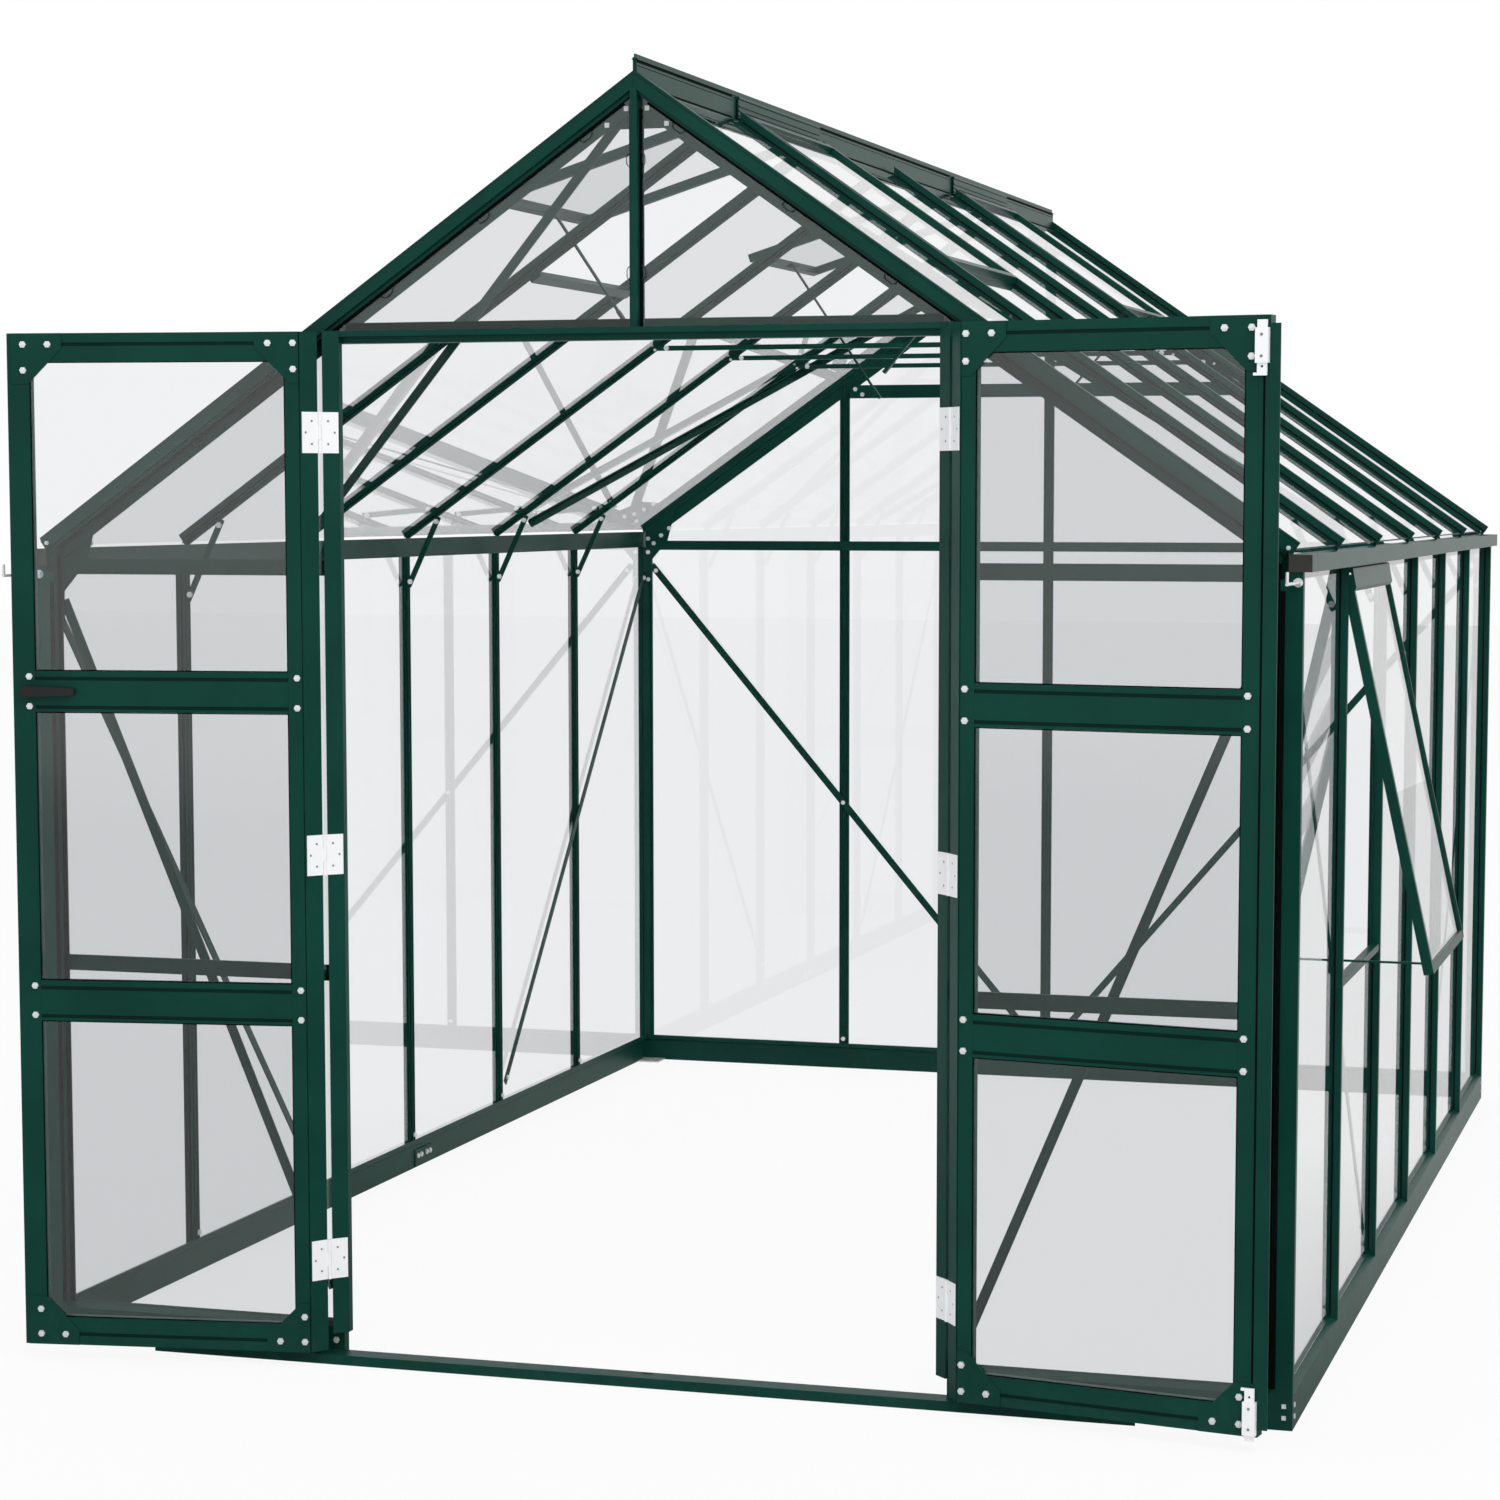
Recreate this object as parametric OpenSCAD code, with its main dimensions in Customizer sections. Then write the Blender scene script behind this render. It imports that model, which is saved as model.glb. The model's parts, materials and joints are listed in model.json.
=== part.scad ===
// Aluminium greenhouse with double doors, four roof vents and one side vent.
// X runs across the front, Y from front to rear, Z up. The origin is at the
// centre of the base, on the ground, and the doors face -Y.

/* [Plan] */
// Distance between glazing bars
bay = 625; // [560:5:700]
// Bays across the front
bays_wide = 4; // [4:2:4]
// Bays along each side
bays_deep = 6; // [6:1:8]
// Outer face of the end walls beyond the last bar's line
end_out = 11.3; // [9:0.1:14]
// Outer face of the side walls beyond the corner bar's line
side_out = 35; // [34:1:40]

/* [Heights] */
// Top of the side walls, under the eave rail
wall_h = 1580; // [1450:10:1700]
// Roof slope in degrees
pitch = 34.93; // [32:0.5:38]
// Roof tip height above the wall top
tip_rise = 61.8; // [61:0.2:63]
// Roof tip beyond the corner bar's line
tip_out = 22.3; // [21:0.1:24]

/* [Glazing bar] */
// Width of the bar's nose
nose_w = 14; // [12:1:16]
// Depth of the nose and the glass, from the outer face
seat_d = 20; // [18:1:22]
// Width of the flange that carries the glass
flange_w = 30; // [26:1:34]
// Flange thickness
flange_t = 2; // [1.5:0.5:3]
// Depth of the inner nose
inner_d = 6; // [5:1:8]
// Wall of every hollow section
wall = 2; // [1.5:0.5:2.5]
// Glass thickness
glass_t = 4; // [3:1:5]
// Gap between a pane's edge and the nose of its bar
glass_gap = 0.5; // [0.3:0.1:1.5]
// Gap where two profiles meet end to end
butt = 0.2; // [0.1:0.05:0.5]
// Height of the nose above the roof plane
nose_up = 7; // [5:1:9]

/* [Base and threshold] */
// Height of the base rail's outer face
base_outer_h = 66; // [55:1:80]
// Height of the base rail's inner edge
base_h = 77; // [70:1:95]
// Width of the base rail's foot
base_foot = 19; // [16:1:22]
// Threshold length
threshold_len = 2020; // [1500:10:2200]
// Threshold shift to the left
threshold_shift = 12; // [0:1:20]
// Threshold depth in front of the wall
threshold_d = 46.6; // [45:0.2:60]
// Threshold height
threshold_h = 20; // [16:1:22]
// Cut at the ends of the threshold
threshold_cut = 24; // [10:1:40]
// Side of a ground anchor plate
anchor_plate = 66; // [60:2:80]
// Diameter of a ground anchor hole
anchor_hole_d = 10; // [8:1:12]
// Anchor plate thickness
anchor_t = 4; // [3:1:6]
// Length of a base splice plate
splice_len = 110; // [90:5:140]

/* [Doorway] */
// Half width of the opening between the door posts
door_half = 606; // [560:1:640]
// Hinge pin outside the opening's edge
pin_out = 28; // [26:1:30]
// Hinge pin in front of the wall
pin_fwd = 46.2; // [45:0.2:48]
// Underside of the lintel
lintel_z = 2030; // [1980:5:2040]
// Lintel height
lintel_h = 24; // [20:1:30]
// Depth of the lip in front of the lintel
lip_d = 15; // [14.5:0.1:15.5]
// Depth of a door post behind the wall's front
post_back = 22; // [20:1:24]
// Width of a door post outside the pin
post_out = 14; // [12:1:18]
// Foot height of the door posts
post_foot = 61; // [50:1:64]
// Depth of a door post's edge along the opening
post_edge = 16; // [14:1:16]
// Step back of a door post behind its edge
post_step = 12; // [8:1:14]

/* [Doors] */
// How far the doors stand open in degrees
door_open = 171.1; // [150:0.1:175]
// Clearance under a door
door_under = 29.6; // [26:0.2:34]
// Top of a door
door_top = 2051; // [2046:1:2052]
// Door thickness
door_t = 28; // [26:1:29]
// Gap from the closed doors to the centre
door_gap = 10.4; // [10:0.2:14]
// Width of the stile on the closing side
free_stile_w = 45; // [40:1:50]
// Width of the stile on the hinge side
hinge_stile_w = 28; // [24:1:34]
// Outer edge of the hinge side stile from the pin
hinge_stile_u = 34; // [33:0.5:38]
// Height of the top and bottom rails
end_rail_h = 56; // [48:1:64]
// Height of the two wide rails
mid_rail_h = 81; // [70:1:90]
// Centre of the upper wide rail
upper_rail_z = 1347; // [1250:5:1400]
// Centre of the lower wide rail
lower_rail_z = 729; // [650:5:800]
// Length of a corner gusset along the rail
gusset_w = 112; // [95:1:125]
// Height of a corner gusset along the stile
gusset_h = 99; // [90:1:115]
// Gusset thickness
gusset_t = 2; // [1.5:0.5:3]
// Width of a rail groove
groove_w = 7; // [5:1:9]

/* [Hinges] */
// Hinge height
hinge_h = 80; // [60:5:100]
// Width of one hinge leaf
hinge_leaf = 39; // [34:1:39]
// Hinge leaf thickness
hinge_t = 2; // [1.5:0.1:2]
// Hinge knuckle radius
knuckle_r = 3.5; // [3.2:0.1:3.6]
// Hinge pin radius
pin_r = 2; // [1.5:0.1:2.3]
// Radial running clearance of the pins
run = 0.06; // [0.04:0.01:0.1]
// Space between parts that pass each other
pass = 0.4; // [0.3:0.1:0.5]
// Height of the top hinge
hinge_top_z = 1856; // [1750:2:1900]
// Height of the middle hinge
hinge_mid_z = 1026; // [900:2:1200]
// Height of the bottom hinge
hinge_low_z = 214; // [180:2:300]

/* [Handle and bolts] */
// Length of the door lever
lever_len = 116; // [90:1:130]
// Diameter of the lever's spindle
spindle_d = 8; // [7:0.5:10]
// Length of a slide bolt's case
case_h = 62; // [50:1:75]
// Width of a slide bolt's case
case_w = 24; // [22:1:27]
// Width of the sliding tongue
tongue_w = 18; // [14:1:18]
// Thickness of the sliding tongue
tongue_t = 5; // [4:0.5:5]
// Rest height of the upper tongue's end below the door's top
tongue_in = 9; // [8:0.5:12]
// Hexagon size across the corners
hex_d = 13.8; // [11:0.2:15]

/* [Eaves] */
// Width of the gutter
gutter_w = 36; // [30:1:44]
// Height of the gutter
gutter_h = 32; // [26:1:34]
// Height of the bars and panes above the eave rail's foot
eave_head = 14; // [10:1:16]
// Thickness of the eave rail's web
eave_web = 8; // [6:1:10]

/* [Roof] */
// Half width of the ridge under the bars
ridge_half = 18; // [16:1:20]
// Half width of the ridge's upper plate
ridge_plate = 4; // [3.5:0.5:5]
// Top of the ridge above the roof's apex line
ridge_up = 39.5; // [36:0.5:44]
// Face height of a gable rafter
rafter_face = 20; // [18:1:24]
// Height of the collar ties above the wall top
collar_rise = 512; // [510:2:560]
// Depth of a collar tie
collar_h = 12; // [10:1:16]
// Upper edge of the rear cross rail above the wall top
rear_rail_rise = 485; // [460:1:486]
// Height of the rear cross rail
rear_rail_h = 39; // [30:1:45]

/* [Vents] */
// Length of a roof vent down the slope
vent_len = 530; // [480:5:600]
// Width of a vent's frame bars
vent_bar = 18; // [14:1:22]
// Height of a roof vent above the roof plane
vent_up = 8; // [7.5:0.5:9]
// Opening of the left roof vents in degrees
vent_open = 17.6; // [10:0.2:30]
// Length of the left front vent's stay
stay_front_len = 303; // [280:1:340]
// Length of the left rear vent's stay
stay_left_len = 438; // [380:1:450]
// Length of a right roof vent's stay
stay_right_len = 290; // [240:1:300]
// Side vent length below its hinge
side_vent_len = 826; // [700:2:900]
// Opening of the side vent in degrees
side_vent_open = 12.5; // [8:0.5:25]
// Height of the side vent's head rail
side_head = 34; // [20:1:40]
// Width of the side vent's rear stile
side_rear_bar = 8; // [6:1:18]
// Bay of the front roof vents and the side vent, counted from the front
front_vent_bay = 1; // [1:1:2]
// Bay of the rear roof vents
rear_vent_bay = 4; // [4:1:5]

/* [Braces] */
// Width of the flat braces
brace_w = 20; // [16:1:26]
// Thickness of the flat braces
brace_t = 3; // [2:0.5:4]
// Standing leg of the roof braces
brace_leg = 20; // [12:1:24]
// Flange of a gable rafter behind the glass, below its lip
rafter_back = 24; // [6:1:26]
// Space for a foam strip between the gable glass and that flange
foam_t = 3; // [2.5:0.5:4]

/* [Hidden] */
$fn = 48;

green = "#1a4c3e";
glass_colour = "#c8d2d6";
silver = "#d9dcdd";
white = "#f2f3f3";
black = "#1c1d1d";
cap_grey = "#35322f";

line_x = bay * bays_wide / 2;
line_y = bay * bays_deep / 2;
side_x = line_x + side_out;
half_len = line_y + end_out;
bar_d = seat_d + flange_t + inner_d;
glass_d = seat_d - glass_t;
tip_x = line_x + tip_out;
tip_z = wall_h + tip_rise;
apex_z = tip_z + tip_x * tan(pitch);
tip_s = tip_x / cos(pitch);
seat_t = nose_up - seat_d;
under_t = nose_up - bar_d;
base_t = bar_d;
pin_x = door_half + pin_out;
pin_y = -half_len - pin_fwd;
lintel_top = lintel_z + lintel_h;
collar_z = wall_h + collar_rise;
rear_rail_top = wall_h + rear_rail_rise;
eave_top = wall_h + eave_head;
pane_in = nose_w / 2 + glass_gap;

function roof_z(x, t) = apex_z - abs(x) * tan(pitch) + t / cos(pitch);
function side_bar_y(k) = -line_y + bay * k;

// Copies of a piece on the mirrored side, at the mirrored end, or both
module both_sides() { children(); mirror([1, 0, 0]) children(); }
module both_ends() { children(); mirror([0, 1, 0]) children(); }
module four_corners() { both_sides() both_ends() children(); }
module on_side(side) { mirror([side < 0 ? 1 : 0, 0, 0]) children(); }

// Slope frame of the right roof: x runs down the slope from the apex line, z off the roof
module on_slope() { translate([0, 0, apex_z]) rotate([0, pitch, 0]) children(); }

// Extrudes a section of width and height along x
module along_x(len) { rotate([90, 0, 90]) linear_extrude(len) children(); }

// Extrudes a section of x and z along y
module along_y(len) { translate([0, len, 0]) rotate([90, 0, 0]) linear_extrude(len) children(); }

// Hexagon nut with the end of its bolt, standing on z = 0
module nut(across = hex_d) {
    cylinder(d = across, h = 4, $fn = 6);
    translate([0, 0, 4]) cylinder(d = across * 0.45, h = 2, $fn = 24);
}

function between(ends, part) = ends[0] + (ends[1] - ends[0]) * part;

// Flat strip in the plane of x and y from one point to another
module strip(from, to, w, t) {
    run_x = to[0] - from[0];
    run_y = to[1] - from[1];
    translate([from[0], from[1], 0]) rotate([0, 0, atan2(run_y, run_x)])
        translate([0, -w / 2, 0]) cube([norm([run_x, run_y]), w, t]);
}

// Strip with a leg that stands off its front edge, downward
module angle_strip(from, to, w, t, leg) {
    run = to - from;
    strip(from, to, w, t);
    translate([from[0], from[1], 0]) rotate([0, 0, atan2(run[1], run[0])])
        translate([0, -w / 2, t - leg]) cube([norm(run), t, leg]);
}

// Section of a glazing bar: x across, y inward from the outer face
module bar_section() {
    difference() {
        union() {
            translate([-nose_w / 2, 0]) square([nose_w, bar_d]);
            translate([-flange_w / 2, seat_d]) square([flange_w, flange_t]);
        }
        translate([-nose_w / 2 + wall, wall]) square([nose_w - 2 * wall, seat_d - 2 * wall]);
        translate([-nose_w / 2 + wall, seat_d + 2 * wall])
            square([nose_w - 2 * wall, inner_d]);
    }
}

// Section of a base rail: x inward from the outer face, y up
module base_outline() {
    polygon([[0, 0], [0, base_outer_h], [base_t, base_h], [base_t, base_h - 12],
        [base_foot, base_outer_h - 6], [base_foot, 0]]);
}

module base_section(hollow) {
    difference() {
        base_outline();
        if (hollow) translate([wall, wall]) square([base_foot - 2 * wall, base_outer_h - 6 - 2 * wall]);
    }
}

// Side, rear and wing stretches of the base, each cut to its mitre
module side_base(hollow = true) {
    intersection() {
        translate([side_x, -half_len, 0]) mirror([1, 0, 0]) along_y(2 * half_len) base_section(hollow);
        linear_extrude(base_h + 1) polygon([[side_x, -half_len + butt], [side_x, half_len - butt],
            [side_x - base_t, half_len - base_t - butt], [side_x - base_t, -half_len + base_t + butt]]);
    }
}

module end_base(from_x, hollow = true) {
    intersection() {
        translate([-side_x, -half_len, 0]) along_x(2 * side_x) base_section(hollow);
        linear_extrude(base_h + 1) polygon(from_x > 0
            ? [[side_x, -half_len], [side_x - base_t, -half_len + base_t],
               [from_x, -half_len + base_t], [from_x, -half_len]]
            : [[side_x, -half_len], [side_x - base_t, -half_len + base_t],
               [-side_x + base_t, -half_len + base_t], [-side_x, -half_len]]);
    }
}

wing_in = pin_x + post_out;

module base_rails() {
    color(green) {
        both_sides() side_base();
        both_sides() end_base(wing_in);
        mirror([0, 1, 0]) end_base(-side_x);
    }
}

// The base without its hollows, used to cut what stands on its sloping top
module base_space() {
    both_sides() side_base(false);
    both_sides() end_base(wing_in, false);
    mirror([0, 1, 0]) end_base(-side_x, false);
}

anchor_x = side_x - base_foot - anchor_plate / 2;
anchor_y = half_len - base_foot - anchor_plate / 2;

module anchor_plates() {
    color(silver) four_corners() translate([anchor_x, -anchor_y, 0]) difference() {
        translate([-anchor_plate / 2, -anchor_plate / 2, 0]) cube([anchor_plate, anchor_plate, anchor_t]);
        translate([0, 0, -1]) cylinder(d = anchor_hole_d, h = anchor_t + 2);
    }
}

splice_y = side_bar_y(3) + bay * 0.12;

module splice_plates() {
    color(green) both_sides() translate([side_x - base_foot - 3, splice_y - splice_len / 2, anchor_t])
        cube([3, splice_len, base_outer_h - 24]);
}

// Slot for a slide bolt's tongue, measured from the pin on a closed door
tongue_edge = 12.6;
tongue_u = pin_x - door_gap - tongue_edge;
case_n = door_t + 3;
tongue_n = case_n + 3 + pass;
slot_x = pin_x - tongue_u;
slot_y = pin_y + tongue_n + tongue_t / 2;

module tongue_slot(z, h) {
    translate([slot_x - tongue_w / 2 - 2, slot_y - tongue_t / 2 - 1, z])
        cube([tongue_w + 4, tongue_t + 2, h]);
}

module threshold_bar() {
    color(green) difference() {
        translate([-threshold_shift, -half_len, 0]) linear_extrude(threshold_h)
            polygon([[-threshold_len / 2, -threshold_d], [threshold_len / 2, -threshold_d],
                [threshold_len / 2 - threshold_cut, 0], [-threshold_len / 2 + threshold_cut, 0]]);
        translate([-threshold_shift, -half_len, 0]) linear_extrude(threshold_h - 3)
            polygon([[-threshold_len / 2 - 1, -threshold_d + 3], [threshold_len / 2 + 1, -threshold_d + 3],
                [threshold_len / 2 + 1, -3], [-threshold_len / 2 - 1, -3]]);
        tongue_slot(threshold_h - 4, 8);
    }
}

// Corner post: the end bars of the side wall and the end wall in one section
module corner_section() {
    nose_in = side_x - line_x + nose_w / 2;
    side_nose = end_out + nose_w / 2;
    side_flange = end_out + flange_w / 2;
    difference() {
        polygon([[0, 0], [-nose_in, 0], [-nose_in, seat_d], [-nose_in - 8, seat_d],
            [-nose_in - 8, seat_d + flange_t], [-nose_in, seat_d + flange_t], [-nose_in, bar_d],
            [-bar_d, bar_d], [-seat_d - flange_t, bar_d], [-seat_d - flange_t, side_flange],
            [-seat_d, side_flange], [-seat_d, side_nose], [0, side_nose]]);
        translate([-nose_in + wall, wall]) square([nose_in - 2 * wall, side_nose - 2 * wall]);
    }
}

module corner_posts() {
    color(green) difference() {
        four_corners() translate([side_x, -half_len, base_outer_h])
            linear_extrude(eave_top - base_outer_h) corner_section();
        base_space();
        eave_space();
    }
}

// Door post around the hinge pin at its local origin, x outward and y inward
chamfer_off = hinge_t + pass;
chamfer_b = (chamfer_off) * sqrt(2);
near = 3.4;
post_near = 7;
edge_end = pin_out + chamfer_b + post_edge;

module post_outline() {
    polygon([[(chamfer_off - post_near) / sqrt(2), (chamfer_off + post_near) / sqrt(2)],
        [post_out, pin_fwd], [post_out, pin_fwd + post_back], [post_step - pin_out, pin_fwd + post_back],
        [post_step - pin_out, edge_end + post_step / 2], [-pin_out, edge_end],
        [-pin_out, pin_out + chamfer_b]]);
}

module post_section() {
    difference() {
        union() {
            post_outline();
            translate([post_out, pin_fwd + seat_d]) square([8, flange_t]);
        }
        translate([post_step - pin_out + wall, edge_end + post_step / 2])
            square([pin_out + post_out - post_step - 2 * wall,
                pin_fwd + post_back - edge_end - post_step / 2 - wall]);
    }
}

// Space that the gable rafters take: the lip and, further in, the flange behind the glass
lip_seal = 7;
rafter_lip = rafter_face + 2 * lip_seal;
rafter_flange = rafter_face + lip_seal + rafter_back;
foam_d = seat_d + foam_t;

module rafter_space() {
    both_sides() on_slope() for (cut = [[0, rafter_lip], [foam_d - butt, rafter_flange]])
        translate([-200, -half_len + cut[0], -cut[1]]) cube([tip_s + 300, 60, 200]);
}

module door_posts() {
    color(green) difference() {
        both_sides() translate([pin_x, pin_y, post_foot])
            linear_extrude(lintel_top - post_foot) post_section();
        rafter_space();
        base_space();
    }
    foot_w = wing_in - door_half - post_step - 6;
    color(green) both_sides() translate([wing_in - foot_w, -half_len, 0]) difference() {
        cube([foot_w - butt, post_back, post_foot - butt]);
        translate([wall, wall, threshold_h + wall])
            cube([foot_w - 3 * wall, post_back, post_foot - threshold_h - 3 * wall]);
    }
}

// Wall bar on the right side, its nose outward
module side_bar(k) {
    translate([side_x, side_bar_y(k), base_outer_h]) rotate([0, 0, 90])
        linear_extrude(eave_top - base_outer_h) bar_section();
}

// Space of the eave rails above the wall top, behind the glass
module eave_space() {
    both_sides() translate([side_x - bar_d - seat_d, -half_len - 1, wall_h])
        cube([bar_d, 2 * half_len + 2, 2 * gutter_h]);
}

module side_bars() {
    color(green) difference() {
        both_sides() for (k = [1:bays_deep - 1]) side_bar(k);
        base_space();
        eave_space();
    }
}

// Section of a gable rafter: x inward from the wall's face, y off the roof plane

module rafter_outline() {
    side_nose = end_out + nose_w / 2;
    lip_in = 9;
    polygon([[0, 0], [0, -rafter_face], [lip_in, -rafter_face], [lip_in, -rafter_face - lip_seal],
        [glass_d, -rafter_face - lip_seal], [glass_d, under_t], [foam_d, under_t],
        [foam_d, -rafter_flange], [foam_d + flange_t, -rafter_flange], [foam_d + flange_t, under_t],
        [bar_d, under_t], [bar_d, seat_t], [side_nose, seat_t],
        [side_nose, nose_up], [side_nose - nose_w, nose_up], [side_nose - nose_w, 0]]);
}

module rafter_section() {
    side_nose = end_out + nose_w / 2;
    difference() {
        rafter_outline();
        translate([side_nose - nose_w + wall, under_t + 4])
            square([nose_w - 2 * wall, nose_up - under_t - 4 - wall]);
    }
}

module rafter_solid(hollow) {
    difference() {
        on_slope() translate([-60, -half_len, 0]) along_x(tip_s + 60) {
            if (hollow) rafter_section();
            else rafter_outline();
        }
        translate([-side_x + (hollow ? butt : 0), -half_len - 1, 0])
            cube([side_x, bar_d + 2, 2 * apex_z]);
    }
}

module gable_rafters() {
    color(green) difference() {
        four_corners() rafter_solid(true);
        ridge_space();
        four_corners() on_slope() translate([tip_s - eave_web, -half_len - 1, under_t - 60])
            cube([40, bar_d + 2, 60]);
    }
}

// Bars of the rear wall and the short bar over the doors, cut by the rafters
module end_bar(x, from_z) {
    translate([x, -half_len, from_z]) linear_extrude(apex_z - from_z) bar_section();
}

module cut_by_rafters() {
    difference() {
        children();
        both_sides() rafter_solid(false);
        ridge_space();
        both_sides() on_slope() translate([-tip_s, -half_len - 1, -rafter_face])
            cube([3 * tip_s, bar_d + 2, tip_s]);
    }
}

module rear_bars() {
    color(green) difference() {
        mirror([0, 1, 0]) cut_by_rafters() {
            for (x = [-bay, 0, bay]) end_bar(x, base_outer_h);
        }
        base_space();
    }
}

module gable_bar() {
    color(green) cut_by_rafters() end_bar(0, lintel_top);
}

module lintel_bar() {
    flange_top = lintel_top + 17;
    lip_z = lintel_top - 11;
    translate([-door_half, -half_len, 0]) along_x(2 * door_half)
        polygon([[-lip_d, lip_z], [-lip_d, lintel_top], [seat_d, lintel_top], [seat_d, flange_top],
            [seat_d + flange_t, flange_top], [seat_d + flange_t, lintel_top], [bar_d, lintel_top],
            [bar_d, lintel_z], [0, lintel_z], [0, lip_z + 2], [-lip_d + 2, lip_z + 2], [-lip_d + 2, lip_z]]);
}

// Between the door posts; its ends reach round into their step
module lintel() {
    color(green) difference() {
        union() {
            lintel_bar();
            both_sides() translate([door_half - 1, -half_len + 9, lintel_z])
                cube([post_step + 1 - butt, bar_d - 9, lintel_h]);
        }
        tongue_slot(lintel_top - 12, 14);
        gable_bar_foot();
        rafter_space();
    }
}

// The short bar's flanges stand in front of the lintel's glass flange
module gable_bar_foot() {
    translate([-flange_w / 2 - glass_gap, -half_len + seat_d - 1, lintel_top])
        cube([flange_w + 2 * glass_gap, flange_t + 2, 20]);
}

wing_mid_z = 781;
wing_eave_z = wall_h - 5;
wing_rail_h = 32;
post_nose_x = line_x - nose_w / 2;

module wing_rails() {
    color(green) difference() {
        both_sides() for (z = [wing_mid_z - wing_rail_h / 2, wing_eave_z])
            translate([wing_in, -half_len + seat_d + flange_t, z])
                cube([post_nose_x - wing_in, inner_d, wing_rail_h]);
        rafter_space();
    }
}

rear_eave_z = wall_h - 8;
rear_eave_h = 30;
collar_half = (apex_z - rear_rail_top - rafter_lip / cos(pitch)) / tan(pitch);

module rear_rails() {
    color(green) {
        difference() {
            translate([-post_nose_x, half_len - bar_d - inner_d, rear_eave_z])
                cube([2 * post_nose_x, inner_d, rear_eave_h - wall]);
            both_sides() mirror([0, 1, 0]) corner_gusset(inner_d + 1);
        }
        translate([-collar_half, half_len - bar_d - inner_d, rear_rail_top - rear_rail_h])
            cube([2 * collar_half, inner_d, rear_rail_h]);
    }
}

// Eave rail: a web behind the heads of the bars that carries the roof bars
module eave_rails() {
    inner_x = side_x - bar_d;
    color(green) both_sides() translate([0, -half_len, 0]) along_y(2 * half_len)
        polygon([[inner_x, wall_h], [inner_x + eave_web, wall_h],
            [inner_x + eave_web, roof_z(inner_x + eave_web, under_t)], [inner_x, roof_z(inner_x, under_t)]]);
}

module gutters() {
    in_x = side_x - bar_d + eave_web;
    color(green) both_sides() translate([in_x, -half_len, eave_top]) along_y(2 * half_len)
        polygon([[0, 0], [gutter_w, 0], [gutter_w, gutter_h], [gutter_w - 5, gutter_h],
            [gutter_w - 5, gutter_h - wall], [gutter_w - wall, gutter_h - wall], [gutter_w - wall, wall],
            [wall, wall], [wall, gutter_h - 8], [0, gutter_h - 8]]);
}

module gutter_end_caps() {
    in_x = side_x - bar_d + 1;
    color(cap_grey) four_corners() translate([in_x, -half_len - 3, eave_top])
        cube([eave_web - 1 + gutter_w, 3, gutter_h]);
}

// Ridge beam with its upper plate and the body between the bars
ridge_body_top = roof_z(ridge_half, seat_t) + 4;
ridge_low = roof_z(ridge_half, under_t);

module ridge_outline() {
    top = apex_z + ridge_up;
    polygon([[0, top], [1.5, top], [1.5, top - 8], [ridge_plate + 2, top - 9], [ridge_plate + 2, top - 11],
        [ridge_plate, top - 11], [ridge_plate, ridge_body_top], [ridge_half, ridge_body_top],
        [ridge_half, ridge_low], [0, ridge_low]]);
}

ridge_setback = 10;

module ridge_space() {
    both_sides() translate([0, -half_len + ridge_setback, 0])
        along_y(2 * (half_len - ridge_setback)) ridge_outline();
}

module ridge_beam() {
    color(green) difference() {
        union() {
            ridge_space();
            translate([-3, -half_len + ridge_setback - 4, apex_z + ridge_up - 12]) cube([6, 4, 5]);
        }
        translate([-ridge_half + 3, -half_len, ridge_low + 3])
            cube([2 * ridge_half - 6, 2 * half_len, ridge_body_top - ridge_low - 6]);
    }
}

module roof_bars() {
    color(green) difference() {
        both_sides() for (k = [1:bays_deep - 1]) on_slope()
            translate([0, side_bar_y(k), nose_up]) along_x(tip_s) mirror([0, 1, 0]) bar_section();
        translate([-ridge_half, -half_len, 0]) cube([2 * ridge_half, 2 * half_len, 2 * apex_z]);
    }
}

// Ties across the roof, cut to the underside of the bars
module collar_ties() {
    reach = (apex_z - collar_z) / tan(pitch);
    color(green) difference() {
        for (k = [1:bays_deep - 1]) translate([-reach, side_bar_y(k) - nose_w / 2, collar_z])
            cube([2 * reach, nose_w, collar_h]);
        both_sides() on_slope() translate([0, -half_len, under_t]) cube([tip_s, 2 * half_len, tip_s]);
    }
}

// Struts from the wall bars to the roof bars, beside their inner noses
knee_w = 14;
knee_in = side_x - bar_d - 2;
knee_out = knee_in - 84;
knee_drop = 75;
knee_ends = [[knee_in, wall_h - knee_drop], [knee_out, roof_z(knee_out, under_t - 4)]];

module knee_braces() {
    color(green) both_sides() for (k = [1:bays_deep - 1])
        translate([0, side_bar_y(k) - nose_w / 2, 0]) rotate([90, 0, 0])
            strip(knee_ends[0], knee_ends[1], knee_w, brace_t);
}

// Flat braces on the inner faces of the walls, over the gusset plates
wall_brace_y = -half_len + bar_d + gusset_t + brace_t;
side_brace = [[-half_len + bar_d + 9, wall_h - 79], [side_bar_y(2) - 19, base_h + 45]];
wing_brace = [[line_x - 13, wall_h - 58], [wing_in + 12, base_h + 60]];
rear_brace = [[line_x - 17, wall_h - 54], [30, base_h + 38]];

module wall_braces() {
    color(green) {
        both_sides() both_ends() translate([side_x - bar_d - brace_t, 0, 0]) rotate([90, 0, 90])
            strip(side_brace[0], side_brace[1], brace_w, brace_t);
        both_sides() translate([0, wall_brace_y, 0]) rotate([90, 0, 0])
            strip(wing_brace[0], wing_brace[1], brace_w, brace_t);
        mirror([0, 1, 0]) both_sides() translate([0, wall_brace_y, 0]) rotate([90, 0, 0])
            strip(rear_brace[0], rear_brace[1], brace_w, brace_t);
    }
}

// Flat braces under the roof bars
module roof_braces() {
    color(green) both_sides() both_ends() on_slope() translate([0, 0, under_t - brace_t])
        angle_strip([60, -half_len + 77], [tip_s - 77, side_bar_y(2) - 75], brace_w, brace_t, brace_leg);
}

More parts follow.
